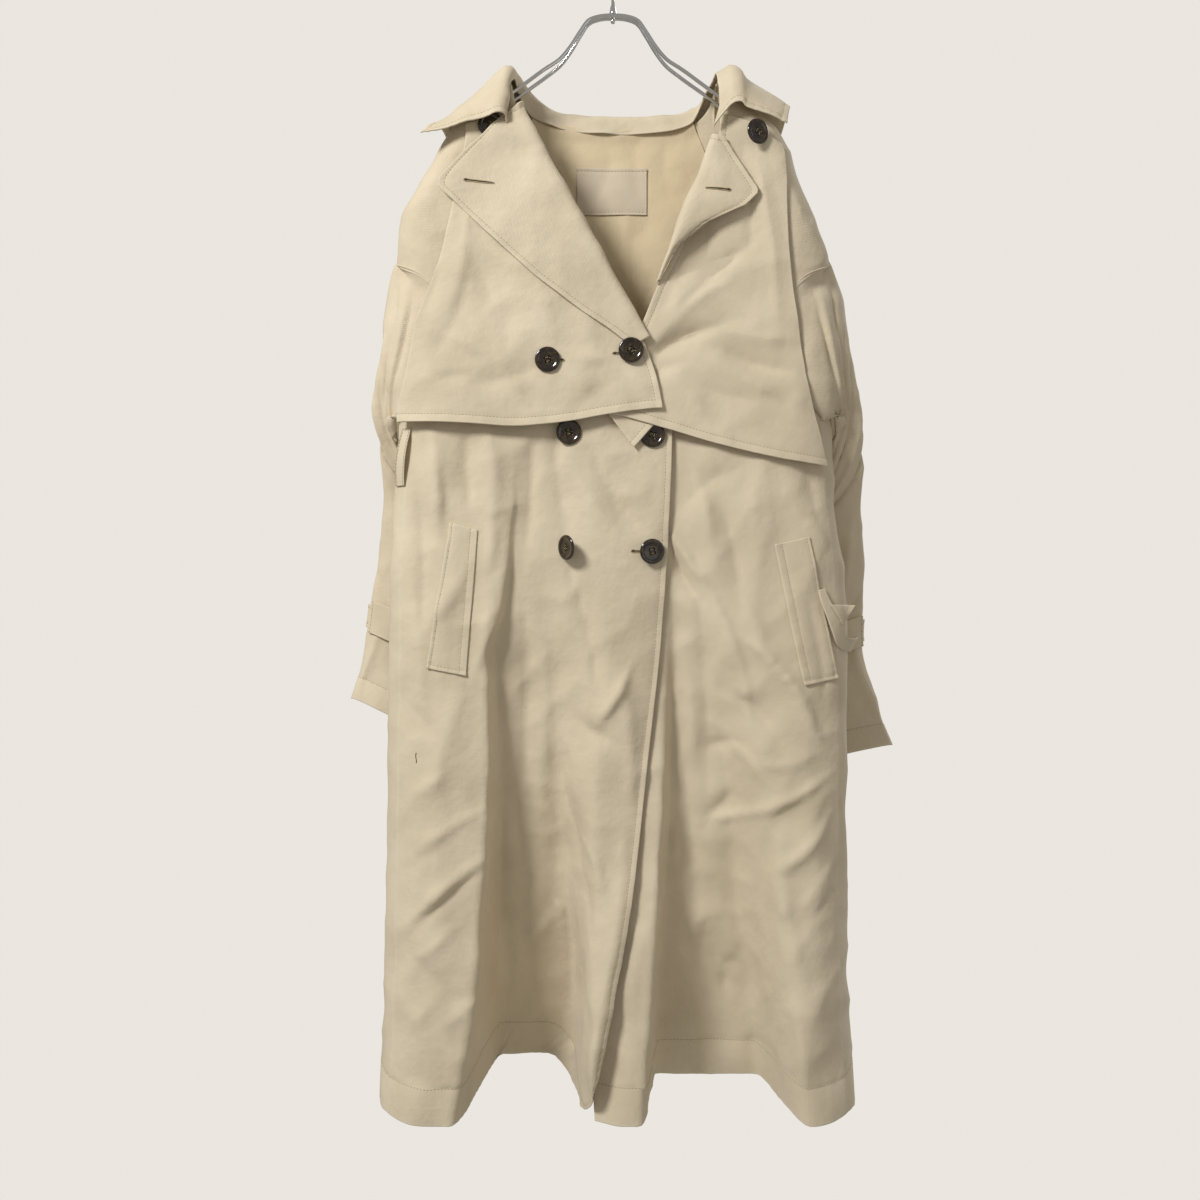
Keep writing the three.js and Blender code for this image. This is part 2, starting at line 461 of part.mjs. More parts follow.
// Columns round one side, from its edge in to where the front or back is flat.
function sideColumns(hand, way, z) {
  const gap = THREE.MathUtils.radToDeg(SEAM / body.round(z) / 2);
  const edge = (way < 0 ? sideEdge.front(z) : sideEdge.back(z));
  const first = z > ARMHOLE.top - 1 ? 0 : edge + gap;
  return range(SIDE_TURNS + 1).map((k) => onSide(hand, mix(first, 90, k / SIDE_TURNS), way, z));
}
// Rows between the yoke line and the top line; first and last are the x of the end columns by height.
function yokeRows(base, top, first, last) {
  const end = top.length - 1;
  return YOKE_ROWS.map((t) => top.map((topX, k) => {
    const height = (x) => mix(YOKE, topLine(x), t);
    const x = mix(base[k], topX, t)
      + (1 - k / end) * (first(height(top[0])) - mix(base[0], top[0], t))
      + (k / end) * (last(height(top[end])) - mix(base[end], top[end], t));
    return { x, z: height(topX) };
  }));
}

const frontRow = (hand, edge, z) => {
  const side = sideColumns(hand, -1, z).map((p) => p.x);
  return [...side, ...frontColumns(hand, side[SIDE_TURNS], edge(z), z)];
};
function front(hand, edge, behind) {
  const shoulder = hand < 0 ? SHOULDERS.left : SHOULDERS.right;
  const place = ({ x, z }) => {
    return behind(x, z) ? off(x, z, -behind(x, z)) : settled(x, frontDepth(x, z), z);
  };
  const rows = BODY_ROWS.map((z) => frontRow(hand, edge, z).map((x) => ({ x, z })));
  const base = rows[rows.length - 1].map((p) => p.x);
  const span = base[base.length - 1] - base[0];
  const top = base.map((x) => mix(shoulder.outer, shoulder.neck, (x - base[0]) / span));
  rows.push(...yokeRows(base, top, (z) => outline(hand, z), edge));
  return rows.map((row) => row.map((p) => {
    const at = place(p);
    at.y = p.z > ARMHOLE.top - 1 ? Math.min(at.y, -shoulderGap(p.x)) : at.y;
    return at;
  }));
}
// How far the under front lies behind: doubled near the hem, and fading out past the over front's edge.
const lapped = (x, z) => UNDERLAP * (1 + smooth(z, -1050, -1130)) * (1 - smooth(z, -400, -340))
  * (1 - smooth(x, overEdge(z) + 6, overEdge(z) + 42));
add('front_right', wall(front(-1, overEdge, () => 0), CLOTH), COLOURS.cloth);
add('front_left', wall(front(1, underEdge, lapped), -CLOTH), COLOURS.cloth);

function back() {
  const rows = BODY_ROWS.map((z) => {
    const left = sideColumns(-1, 1, z);
    const right = sideColumns(1, 1, z).reverse();
    const across = range(9).map((k) => mix(left[SIDE_TURNS].x, right[0].x, (k + 1) / 10))
      .map((x) => ({ x, y: backDepth(x, z) }));
    return [...left, ...across, ...right].map((p) => ({ ...p, z }));
  });
  const base = rows[rows.length - 1].map((p) => p.x);
  const shoulderCount = (base.length - BACK_NECK.length) / 2;
  const shoulder = ({ outer, neck }) => range(shoulderCount).map((k) => mix(outer, neck, k / shoulderCount));
  const top = [...shoulder(SHOULDERS.left), ...BACK_NECK.map((row) => row.x),
    ...shoulder(SHOULDERS.right).reverse()];
  yokeRows(base, top, body.left, body.right).forEach((row) => rows.push(
    row.map(({ x, z }) => ({ x, z, y: Math.max(backDepth(x, z), shoulderGap(x)) }))));
  return rows.map((row) => row.map((p) => settled(p.x, p.y, p.z)));
}
const backRows = back();
add('back_panel', wall(backRows, -CLOTH), COLOURS.cloth);

// ---------- sleeves ----------
// Points of the armhole: down its front edge from the top and up its back edge.
function armhole(hand) {
  const down = [...armholeRows].reverse();
  const at = (z, way) => {
    const gap = THREE.MathUtils.radToDeg(SEAM / body.round(z)) * (way < 0 ? 1.4 : 4);
    const turn = (way < 0 ? sideEdge.front(z) : sideEdge.back(z)) - gap;
    const p = onSide(hand, turn, way, z);
    return point(p.x, p.y, z + (way < 0 ? 5 : 7) * SEAM * smooth(z, -455, way < 0 ? -508 : -485));
  };
  const ends = [at(ARMHOLE.top, -1), at(ARMHOLE.bottom, -1)];
  ends[0].z -= SEAM * 2;
  return [ends[0], ...down.slice(1, -1).map((z) => at(z, -1)), ends[1],
    ...down.slice(1, -1).reverse().map((z) => at(z, 1))];
}
function sleeve(hand, table) {
  const hole = armhole(hand);
  const n = hole.length;
  const parts = ['outer', 'front', 'inner', 'back'].map((name) => [0, 1, 2].map((axis) => column(
    [{ ring: 0, [name]: hole[{ outer: 0, front: n / 4, inner: n / 2, back: (3 * n) / 4 }[name]].toArray() },
      ...table], name, 'ring', axis)));
  const ring = (k) => {
    const [outer, frontMid, inner, backMid] = parts.map((axes) => point(...axes.map((axis) => axis(k))));
    const centre = outer.clone().add(inner).multiplyScalar(0.5);
    const half = outer.clone().sub(inner).multiplyScalar(0.5);
    return range(n).map((j) => {
      const a = (2 * Math.PI * j) / n;
      const bulge = (j <= n / 2 ? frontMid : backMid).clone().sub(centre);
      const shaped = centre.clone().addScaledVector(half, Math.cos(a))
        .addScaledVector(bulge, Math.abs(Math.sin(a)) ** 0.8);
      return hole[j].clone().lerp(shaped, smooth(k, 0, 0.5));
    });
  };
  return { ring, rows: SLEEVE_ROWS.map(ring) };
}
const sleeves = { right: sleeve(-1, RIGHT_SLEEVE), left: sleeve(1, LEFT_SLEEVE) };
add('sleeve_right', wall(sleeves.right.rows, CLOTH, true), COLOURS.cloth);
add('sleeve_left', wall(sleeves.left.rows, -CLOTH, true), COLOURS.cloth);

// ---------- capes ----------
const capes = columns(CAPE_SHAPES,
  ['rightSide', 'rightFront', 'rightLift', 'leftSide', 'leftFront', 'leftLift']);
const capeEnds = columns(CAPE_HEMS, ['right', 'left', 'rightTop', 'leftTop'], 'x');
const capeOff = (hand, z) => (hand < 0 ? capes.rightLift(z) : capes.leftLift(z));
function cape(hand, count = 12, tall = 10) {
  const side = hand < 0 ? 'right' : 'left';
  const [edgeSide, edgeFront] = [capes[`${side}Side`], capes[`${side}Front`]];
  const [hem, top] = [capeEnds[side], capeEnds[`${side}Top`]];
  return range(tall + 1).map((i) => range(count + 1).map((j) => {
    let z = mix(hem(0), top(0), i / tall);
    let x = 0;
    range(4).forEach(() => {
      x = mix(edgeSide(z), edgeFront(z), j / count);
      z = mix(hem(x), top(x), i / tall);
    });
    return off(x, z, capeOff(hand, z));
  }));
}
add('storm_flap_right', wall(cape(-1), CLOTH), COLOURS.cloth);
add('storm_flap_left', wall(cape(1), -CLOTH), COLOURS.cloth);

// The turned-back front corner of the left cape, under its hem.
const CORNER = { side: [-6, -500], tip: [21, -536], front: [43, -511], hidden: [20, -482], lift: 6.1 };
function flapCorner(count = 4) {
  return range(count + 1).map((i) => range(count + 1).map((j) => {
    const [x, z] = [0, 1].map((axis) => mix(mix(CORNER.side[axis], CORNER.tip[axis], j / count),
      mix(CORNER.hidden[axis], CORNER.front[axis], j / count), i / count));
    return off(x, z, CORNER.lift);
  }));
}
add('storm_flap_left_corner', wall(flapCorner(), CLOTH), COLOURS.cloth);

// ---------- lapels ----------
function lapel(hand, table, steps = 12) {
  const at = columns(table, ['rollX', 'rollZ', 'edgeX', 'edgeZ', 'stand', 'root'], 't');
  return range(steps + 1).map((i) => {
    const t = i / steps;
    const [rollX, rollZ, edgeX, edgeZ] = ['rollX', 'rollZ', 'edgeX', 'edgeZ'].map((name) => at[name](t));
    const reach = Math.hypot(edgeX - rollX, edgeZ - rollZ);
    const place = (inward, distance) => off(mix(rollX, edgeX, inward / reach),
      mix(rollZ, edgeZ, inward / reach), distance);
    const outer = capeOff(hand, rollZ) + FACED + at.stand(t);
    const middle = (outer + at.root(t)) / 2;
    const curl = range(5).map((k) => {
      const a = (Math.PI * (k - 2)) / 4;
      return place(ROLL.width * (1 - Math.cos(a)), middle + (outer - middle) * Math.sin(a));
    });
    curl[0] = place(ROLL.base, at.root(t));
    const face = [0.15, 0.35, 0.6, 0.8, 0.93, 1].map((share) => {
      const inward = mix(ROLL.width, reach, share);
      const z = mix(rollZ, edgeZ, inward / reach);
      return place(inward, capeOff(hand, z) + FACED + at.stand(t) * (1 - 0.35 * share * share));
    });
    return [...curl, ...face];
  });
}
add('lapel_right', wall(lapel(-1, RIGHT_LAPEL), -FACED), COLOURS.cloth);
add('lapel_left', wall(lapel(1, LEFT_LAPEL), FACED), COLOURS.cloth);

// ---------- collar ----------
function collar(steps = 22) {
  const lines = ['base', 'fold', 'edge']
    .map((name) => [0, 1, 2].map((axis) => column(COLLAR, name, 't', axis)));
  return range(steps + 1).map((i) => {
    const t = i / steps;
    const [base, fold, edge] = lines.map((axes) => point(...axes.map((axis) => axis(t))));
    const out = edge.clone().sub(base);
    out.addScaledVector(fold.clone().sub(base).normalize(), -out.dot(fold.clone().sub(base).normalize()));
    const bend = out.normalize().multiplyScalar(COLLAR_BEND);
    const stand = [0, 0.5, 0.85].map((k) => base.clone().lerp(fold, k).addScaledVector(bend, -0.5));
    const crown = fold.clone().addScaledVector(bend, 0.5);
    crown.add(fold.clone().sub(base).normalize().multiplyScalar(1.5));
    const fall = [0.12, 0.35, 0.6, 0.82, 1]
      .map((k) => fold.clone().addScaledVector(bend, 1.4 * (1 - k)).lerp(edge, k));
    return [...stand, crown, ...fall];
  });
}
add('collar', wall(collar(), FACED), COLOURS.cloth);

// ---------- inside the neck ----------
const NECK_LINING = { low: -470, top: 2, half: 150, gap: 0.7 };
const insideBack = (x, z, gap) => backDepth(x, z) - CLOTH - gap;
function neckLining(count = 12, tall = 6) {
  return range(tall + 1).map((i) => range(count + 1).map((j) => {
    const topX = mix(-84, 85, j / count);
    const x = mix(mix(-NECK_LINING.half, NECK_LINING.half, j / count), topX, (i / tall) ** 1.5);
    const z = mix(NECK_LINING.low, topLine(topX) - NECK_LINING.top, (i / tall) ** 0.8);
    return point(x, insideBack(x, z, NECK_LINING.gap), z);
  }));
}
add('back_lining', wall(neckLining(), -LINING), COLOURS.inside);
const LABEL = { left: -38, right: 36, top: -232, low: -282, thickness: 0.8, gap: 0.4 };
const labelRows = range(3).map((i) => range(5).map((j) => {
  const [x, z] = [mix(LABEL.left, LABEL.right, j / 4), mix(LABEL.low, LABEL.top, i / 2)];
  return point(x, insideBack(x, z, NECK_LINING.gap + LINING + LABEL.gap), z);
}));
add('neck_label', wall(labelRows, -LABEL.thickness), COLOURS.label);

// ---------- pocket welts and belt loops ----------
function welt({ topIn, topOut, lowIn, lowOut }) {
  return range(9).map((i) => range(4).map((j) => {
    const [x, z] = [0, 1].map((axis) => mix(mix(lowOut[axis], lowIn[axis], j / 3),
      mix(topOut[axis], topIn[axis], j / 3), i / 8));
    return off(x, z, WELT_LIFT);
  }));
}
add('pocket_welt_right', wall(welt(WELTS.right), FACED - 0.2), COLOURS.cloth);
add('pocket_welt_left', wall(welt(WELTS.left), -(FACED - 0.2)), COLOURS.cloth);
function beltLoop({ topX, lowX, top, low, width, arch, foot }) {
  return range(7).map((i) => range(3).map((j) => {
    const t = i / 6;
    const x = mix(lowX, topX, t) + (j / 2 - 0.5) * width;
    return off(x, mix(low, top, t), foot + arch * Math.sin(Math.PI * t));
  }));
}
add('belt_loop', wall(beltLoop(BELT_LOOP), CLOTH), COLOURS.cloth);

// ---------- cuff straps ----------
function roundCuff(hand, parts, more, layers) {
  const rows = range(4).map((k) => parts.ring(mix(CUFF_STRAP.from - more, CUFF_STRAP.to + more, k / 3)));
  return moved(rows, -hand * layers * (CUFF_STRAP.lift + CLOTH), true);
}
function keeper(hand, parts) {
  return roundCuff(hand, parts, CUFF_STRAP.keeperMore, 2)
    .map((row) => row.slice(CUFF_STRAP.keeperFirst, CUFF_STRAP.keeperLast));
}
add('cuff_strap_right', wall(roundCuff(-1, sleeves.right, 0, 1), CLOTH, true), COLOURS.cloth);
add('cuff_strap_left', wall(roundCuff(1, sleeves.left, 0, 1), -CLOTH, true), COLOURS.cloth);
add('cuff_keeper_right', wall(keeper(-1, sleeves.right), CLOTH), COLOURS.cloth);
add('cuff_keeper_left', wall(keeper(1, sleeves.left), -CLOTH), COLOURS.cloth);

// ---------- buttons ----------
function button() {
  const { radius, edge, thickness, hole, holes } = BUTTON;
  const ring = (r, count, x = 0, y = 0) => range(count).map((k) => {
    const a = (2 * Math.PI * k) / count;
    return new THREE.Vector2(x + r * Math.cos(a), y + r * Math.sin(a));
  });
  const disc = new THREE.Shape(ring(radius - edge, 18));
  disc.holes = range(4).map((k) => Math.PI * (k + 0.5) / 2)
    .map((a) => new THREE.Path(ring(hole + 0.2, 5, holes * Math.cos(a), holes * Math.sin(a)).reverse()));
  return new THREE.ExtrudeGeometry(disc, { depth: thickness - 2 * edge, bevelThickness: edge, bevelSize: edge,
    bevelSegments: 1 }).translate(0, 0, edge).rotateX(Math.PI / 2);
}
BUTTONS.forEach(({ name, x, z, off: distance, yaw, pitch }) => {
  const at = off(x, z, distance);
  const seat = button().rotateX(THREE.MathUtils.degToRad(pitch)).rotateZ(THREE.MathUtils.degToRad(yaw));
  add(name, seat.translate(at.x, at.y, at.z), COLOURS.button);
});

// ---------- hanger ----------
const hangerSide = (hand, way) => HANGER.map(({ x, z, apart }) => point(hand * x, way * apart, z));
const hangerPath = [...hangerSide(1, -1), ...hangerSide(1, 1).reverse(), ...hangerSide(-1, 1).slice(1),
  ...hangerSide(-1, -1).reverse().slice(0, -1)];
add('hanger_frame', rod(hangerPath, hangerPath.map(() => HANGER_WIRE / 2), 8, true), COLOURS.wire);
const hookCentre = HOOK.inside + HOOK.wire / 2;
const hookArc = range(15).map((k) => THREE.MathUtils.degToRad(mix(200, -20, k / 14)))
  .map((a) => point(hookCentre * Math.cos(a), 0, -HOOK.inside + hookCentre * Math.sin(a)));
const wireRadius = HOOK.wire / 2;
const stem = [
  { x: 16, z: -36, r: wireRadius }, { x: 9, z: -44, r: wireRadius }, { x: 2, z: HOOK.neck, r: wireRadius },
  { x: 0, z: -56, r: wireRadius }, { x: 0, z: CONE.top, r: wireRadius },
  { x: 0, z: CONE.top - 1, r: CONE.thin / 2 },
  { x: 0, z: CONE.low + 1, r: CONE.wide / 2 }, { x: 0, z: CONE.low, r: CONE.wide / 2 },
  { x: 0, z: CONE.low - 0.1, r: wireRadius }, { x: 0, z: HOOK.end + 4.6, r: wireRadius },
  { x: 0, z: HOOK.end + 3.6, r: 2.4 }, { x: 0, z: HOOK.end + 1.2, r: 2.4 }, { x: 0, z: HOOK.end, r: 1.2 },
];
add('hanger_hook', rod([...hookArc, ...stem.map(({ x, z }) => point(x, 0, z))],
  [...hookArc.map(() => wireRadius), ...stem.map(({ r }) => r)], 8), COLOURS.wire);

export default group;
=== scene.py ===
"""A beige double-breasted trench coat with a layered cape front, hanging flat on a chrome wire hanger.

The front faces -Y, the back faces +Y and +X is to the viewer's right. The tables are in millimetres
and become metres where a mesh is made. "Right" and "left" are the wearer's own: right is at -X.
"""
import math

import bmesh
import bpy
import numpy as np
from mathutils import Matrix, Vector, noise
from mathutils.bvhtree import BVHTree


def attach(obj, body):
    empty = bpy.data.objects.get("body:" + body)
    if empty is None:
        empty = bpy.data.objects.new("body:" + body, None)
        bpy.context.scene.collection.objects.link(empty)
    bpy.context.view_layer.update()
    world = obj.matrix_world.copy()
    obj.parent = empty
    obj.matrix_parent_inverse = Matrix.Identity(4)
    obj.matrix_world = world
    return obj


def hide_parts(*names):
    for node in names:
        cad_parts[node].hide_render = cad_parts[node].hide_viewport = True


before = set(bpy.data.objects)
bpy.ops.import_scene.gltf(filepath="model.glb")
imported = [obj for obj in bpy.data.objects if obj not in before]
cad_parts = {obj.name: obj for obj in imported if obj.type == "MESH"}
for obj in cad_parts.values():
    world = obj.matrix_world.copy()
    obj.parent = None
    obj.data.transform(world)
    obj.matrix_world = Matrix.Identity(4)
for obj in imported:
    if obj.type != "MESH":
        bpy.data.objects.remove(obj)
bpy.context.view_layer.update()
MM = 0.001

# ---------- driving sizes ----------
CLOTH = 1.2          # one layer of washed cotton twill with its folded edges
FACED = 1.9          # two layers sewn together
GRID = 3.8           # spacing of the cloth's mesh
SEAM = 0.3           # gap between two pieces along a seam
HEM_LEVEL = -1187    # height of the hem where a fold lies in the hanger's plane
HEM_LIFT = 0.3       # how much the hem rises for each millimetre that it lies further back
HEM_LIFT_TOP = -900  # height at which that rise has faded out
YOKE = -300          # above this height the rows of a panel bend up to the shoulder line
V_LOW = -404         # height at which the over front's edge passes into the right lapel's roll
LEFT_V_LOW = -368    # the same for the under front and the left lapel
UNDERLAP = 5.2       # how far the under front lies behind the over front
EDGE_FORWARD = 24    # how far the over front's corner hangs forward of the fold at the hem
EDGE_DROP = 16       # how far that corner hangs below the hem
ARMHOLE_TOP, ARMHOLE_BOTTOM = -337, -508
STITCH = {"length": 2.5, "pitch": 3.5, "width": 0.7, "edge": 6.0}
CREASE_SCALES = {"front": 2.6, "back": 1.6, "sleeve": 1.8, "collar": 1.6}  # heights over the tables' own
HEM_STITCH = 37      # the skirt hem's line of stitches above its edge


def table(names, *rows):
    """A table with named columns, as one array for each column."""
    return {name: np.array([row[k] for row in rows], float) for k, name in enumerate(names.split())}


# Sections of the body: the outline at both sides, how far the front, back and side lie from the
# hanger's plane, and how broadly the sides round.
SECTIONS = table("z left right front back side round",
    (-150, -107, 109, -26, 26, 0, 30), (-172, -136, 138, -27, 27, 0, 30),
    (-194, -165, 164, -27, 27, 0, 28), (-209, -175, 177, -28, 27, 0, 26),
    (-233, -187, 188, -28, 27, 0, 27), (-256, -201, 196, -29, 26, 0, 30),
    (-292, -221, 210, -29, 25, 0, 36), (-337, -225, 225, -30, 24, 0, 44),
    (-420, -226, 230, -32, 24, -1, 52), (-508, -225, 229, -35, 24, -3, 55),
    (-600, -229, 232, -39, 24, -5, 57), (-692, -232, 243, -44, 24, -8, 58),
    (-850, -233, 242, -55, 25, -13, 58), (-1000, -234, 241, -69, 32, -20, 58),
    (-1120, -236, 243, -81, 40, -28, 58), (-1215, -240, 249, -89, 45, -35, 58))

# Turn of the side edges of the fronts and of the back round the side, in degrees from the outline.
SIDE_EDGES = table("z front back",
    (-150, 0, 0), (-337, 0, 0), (-358, 62, 36), (-372, 80, 44), (-402, 88, 54), (-450, 88, 50),
    (-485, 70, 18), (-508, 41, -41), (-1215, 41, -41))

# Long folds that fall back between the columns of the skirt: where each starts, its depth at the hem
# and how it grows; and by height the x of both flanks of each and how softly it turns there.
SKIRT_FOLDS = (dict(start=-530, depth=118, growth=1.6), dict(start=-660, depth=84, growth=1.3))
FLANKS = table("z x1 turn1 x2 turn2 x3 turn3 x4 turn4",
    (-560, -99, 4, -50, 30, 64, 7, 106, 26), (-640, -105, 4, -44, 34, 62, 7, 112, 26),
    (-700, -113, 4, -40, 35, 58, 6, 118, 26), (-745, -125, 5, -38, 33, 57, 6, 124, 26),
    (-875, -122, 6, -39, 24, 55, 6, 138, 25), (-990, -126, 8, -34, 16, 49, 6, 150, 25),
    (-1092, -130, 12, -32, 12, 42, 7, 161, 24), (-1160, -138, 19, -32, 13, 38, 9, 169, 24),
    (-1215, -142, 25, -31, 15, 34, 10, 175, 24))

# Front edges of the body below the V: the right front lies over the left one.
FRONT_EDGES = table("z over under",
    (-404, 20, 44), (-430, 32, 30), (-470, 50, -20), (-518, 60, -56), (-620, 56, -60), (-733, 48.6, -53),
    (-855, 35, -44), (-975, 20.7, -35), (-1085, -2.5, -28), (-1187, -33, -18.6), (-1215, -41, -17))

BACK_NECK = table("x z",
    (-107, -150), (-99, -168), (-84, -178), (-50, -189), (3, -194), (56, -193), (88, -183),
    (101.5, -169), (109, -150))
SHOULDER_OUTER = {-1: -175, 1: 177}
SHOULDER_NECK = {-1: -107, 1: 109}

# Capes: the side and front edge of each by height, and how far each stands off the body.
CAPE_SHAPES = table("z right_side right_front right_lift left_side left_front left_lift",
    (-165, -140, -110, 2.3, 150, 116, 2.3), (-190, -150, -102, 2.4, 163, 112, 2.4),
    (-221, -152, -88, 3.0, 173, 108, 2.8), (-247, -157, -74, 4.4, 176, 98, 3.4),
    (-283, -164, -54, 5.6, 178, 83, 4.2), (-329, -175, -27, 7.4, 180, 66, 5.0),
    (-372, -188, -1.5, 9.0, 184, 45, 5.4), (-404, -198, 18, 10.8, 188, 32, 6.4),
    (-430, -203, 31, 12, 190.5, 20, 7.4), (-467, -208.5, 44, 12.8, 196, 3, 8.4),
    (-500, -213.5, 50, 12.8, 203, -6, 8.4), (-556, -216, 54, 12.8, 215, -12, 8.4))
CAPE_ENDS = table("x right left right_top left_top",
    (-222, -509, -500, -222, -190), (-152, -512, -500, -203, -190), (-100, -515, -500, -190, -190),
    (-45, -510, -500, -190, -190), (-6, -503, -502, -190, -190), (50, -497, -516, -190, -190),
    (100, -497, -531, -190, -190), (140, -497, -541, -190, -200), (172, -497, -548, -190, -222),
    (220, -497, -556, -190, -240))

# Lapels, from the V up to the gorge: roll line, outer edge, how far each lies off the cape, and
# where its roll is rooted, + in front of the body's cloth.
RIGHT_LAPEL = table("t roll_x roll_z edge_x edge_z stand root",
    (0, 36, -424, 19, -434, 1.2, 13.4), (0.1, 24, -402, -4, -416, 3, 8),
    (0.2, 9, -374, -30, -399, 4.5, -1.5), (0.4, -21, -318, -80, -361, 7, -1.5),
    (0.6, -49, -266, -128, -317, 6, -1.5), (0.78, -70, -228, -163, -283, 3, -1.5),
    (0.86, -79, -211, -179, -268, 3.2, -1.5), (0.885, -82, -205, -177, -259, 3.6, -1.5),
    (0.93, -87, -195, -150, -229, 4.6, -1.5), (1, -94, -180, -115, -197, 4.4, -1.5))
LEFT_LAPEL = table("t roll_x roll_z edge_x edge_z stand root",
    (0, 45, -368, 50, -356, 3, 5), (0.2, 53, -343, 68, -327, 9, -1.5),
    (0.4, 62, -316, 96, -306, 12, -1.5), (0.62, 74, -284, 135, -288, 9, -1.5),
    (0.73, 80, -268, 148, -275, 6, -1.5), (0.75, 82, -264, 147.5, -271, 6, -1.5),
    (0.87, 92, -240, 131, -246, 4, -1.5), (1, 103, -214, 114, -218, 3, -1.5))
ROLL = {"width": 4, "base": 4.5, "front": 8}

# Collar, from the right wing's front end round the back neck to the left wing's: the line where it
# is sewn on, its fold and its outer edge.
COLLAR = table("t base_x base_y base_z fold_x fold_y fold_z edge_x edge_y edge_z",
    (0.0, -112, -37, -203, -113, -43, -196, -196, -37, -216),
    (0.07, -112, -32, -169, -110, -34, -163, -187, -14, -200),
    (0.14, -107, -7, -146, -105, -9, -139, -180, 6, -196),
    (0.21, -104, 16, -150, -99, 20, -141, -172, 36, -206),
    (0.3, -86, 28, -175, -82, 32, -158, -130, 38, -236),
    (0.4, -50, 28, -188, -49, 32, -174, -65, 38, -250),
    (0.5, 3, 27.6, -193.3, 3, 32.5, -177, 3, 38, -255),
    (0.6, 56, 28, -191.5, 58, 32, -176, 72, 38, -250),
    (0.7, 89, 28, -180.3, 92, 32, -166, 138, 38, -236),
    (0.79, 106, 16, -150, 117, 20, -139, 176, 36, -204),
    (0.86, 109, -7, -146, 126, -8, -138, 184, 6, -176),
    (0.93, 112, -32, -178, 127, -34, -158, 180, -18, -187),
    (1.0, 107, -36, -207, 126, -43, -183, 177, -34, -204))
COLLAR_BEND = 4

COLLAR_CREASES = table("x0 z0 x1 z1 bow width high",
    (-84, -178, -54, -196, 2, 5, 1.6), (-54, -190, -10, -210, 3, 5, -1.6), (-24, -196, 8, -188, -3, 6, 1.2),
    (-6, -204, 34, -202, 2, 4, -1.2), (40, -196, 92, -184, -3, 6, 1.4))

# Sleeves, ring by ring below the armhole: outer and inner ends of each flattened ring and the
# middles of its front and back.
SLEEVE_NAMES = ("ring outer_x outer_y outer_z front_x front_y front_z inner_x inner_y inner_z "
                "back_x back_y back_z")
RIGHT_SLEEVE = table(SLEEVE_NAMES,
    (0.5, -231, 1, -352, -199, -31, -430, -232, -15, -500, -226, 24, -428),
    (1, -236, 4, -372, -216, -28, -445, -239, 0, -508, -230, 36, -448),
    (2, -241, 8, -418, -232, -9, -485, -226, 34, -534, -226, 52, -480),
    (3, -243, 14, -465, -236, 9, -520, -196, 46, -562, -218, 61, -518),
    (4, -241, 26, -525, -222, 28, -562, -162, 48, -602, -206, 64, -560),
    (5, -244, 40, -590, -192, 31, -612, -136, 48, -650, -190, 65, -612),
    (6, -251, 44, -652, -190, 31, -672, -128, 47, -702, -190, 63, -672),
    (7, -258, 44, -692, -200, 31, -714, -140, 45, -740, -200, 59, -714),
    (8, -263, 44, -726, -204, 31, -752, -144, 45, -778, -204, 59, -752),
    (9, -270, 45, -762, -208, 31, -790, -145, 47, -822, -208, 64, -790),
    (10, -280, 47, -799, -214, 31, -828, -148, 49, -868, -214, 68, -828))
LEFT_SLEEVE = table(SLEEVE_NAMES,
    (0.5, 232, 1, -353, 203, -32, -430, 237, -15, -500, 232, 24, -428),
    (1, 239, 4, -374, 220, -29, -446, 244, 0, -509, 235, 36, -450),
    (2, 247, 8, -424, 237, -9, -490, 232, 34, -540, 236, 52, -486),
    (3, 255, 14, -478, 242, 9, -532, 208, 46, -576, 234, 61, -530),
    (4, 261, 26, -542, 236, 28, -580, 182, 48, -622, 224, 64, -578),
    (5, 266, 40, -608, 212, 31, -632, 160, 48, -672, 212, 65, -632),
    (6, 269, 44, -668, 212, 31, -690, 152, 47, -716, 212, 63, -690),
    (7, 267, 44, -708, 216, 31, -727, 164, 45, -750, 216, 59, -727),
    (8, 267, 44, -742, 218, 31, -762, 166, 45, -786, 218, 59, -762),
    (9, 280, 46, -792, 220, 31, -808, 158, 47, -830, 220, 66, -808),
    (10, 300, 49, -850, 226, 31, -862, 152, 49, -886, 226, 70, -862))
CUFF_STRAP = {"from": 7.15, "to": 7.85, "lift": 0.7}

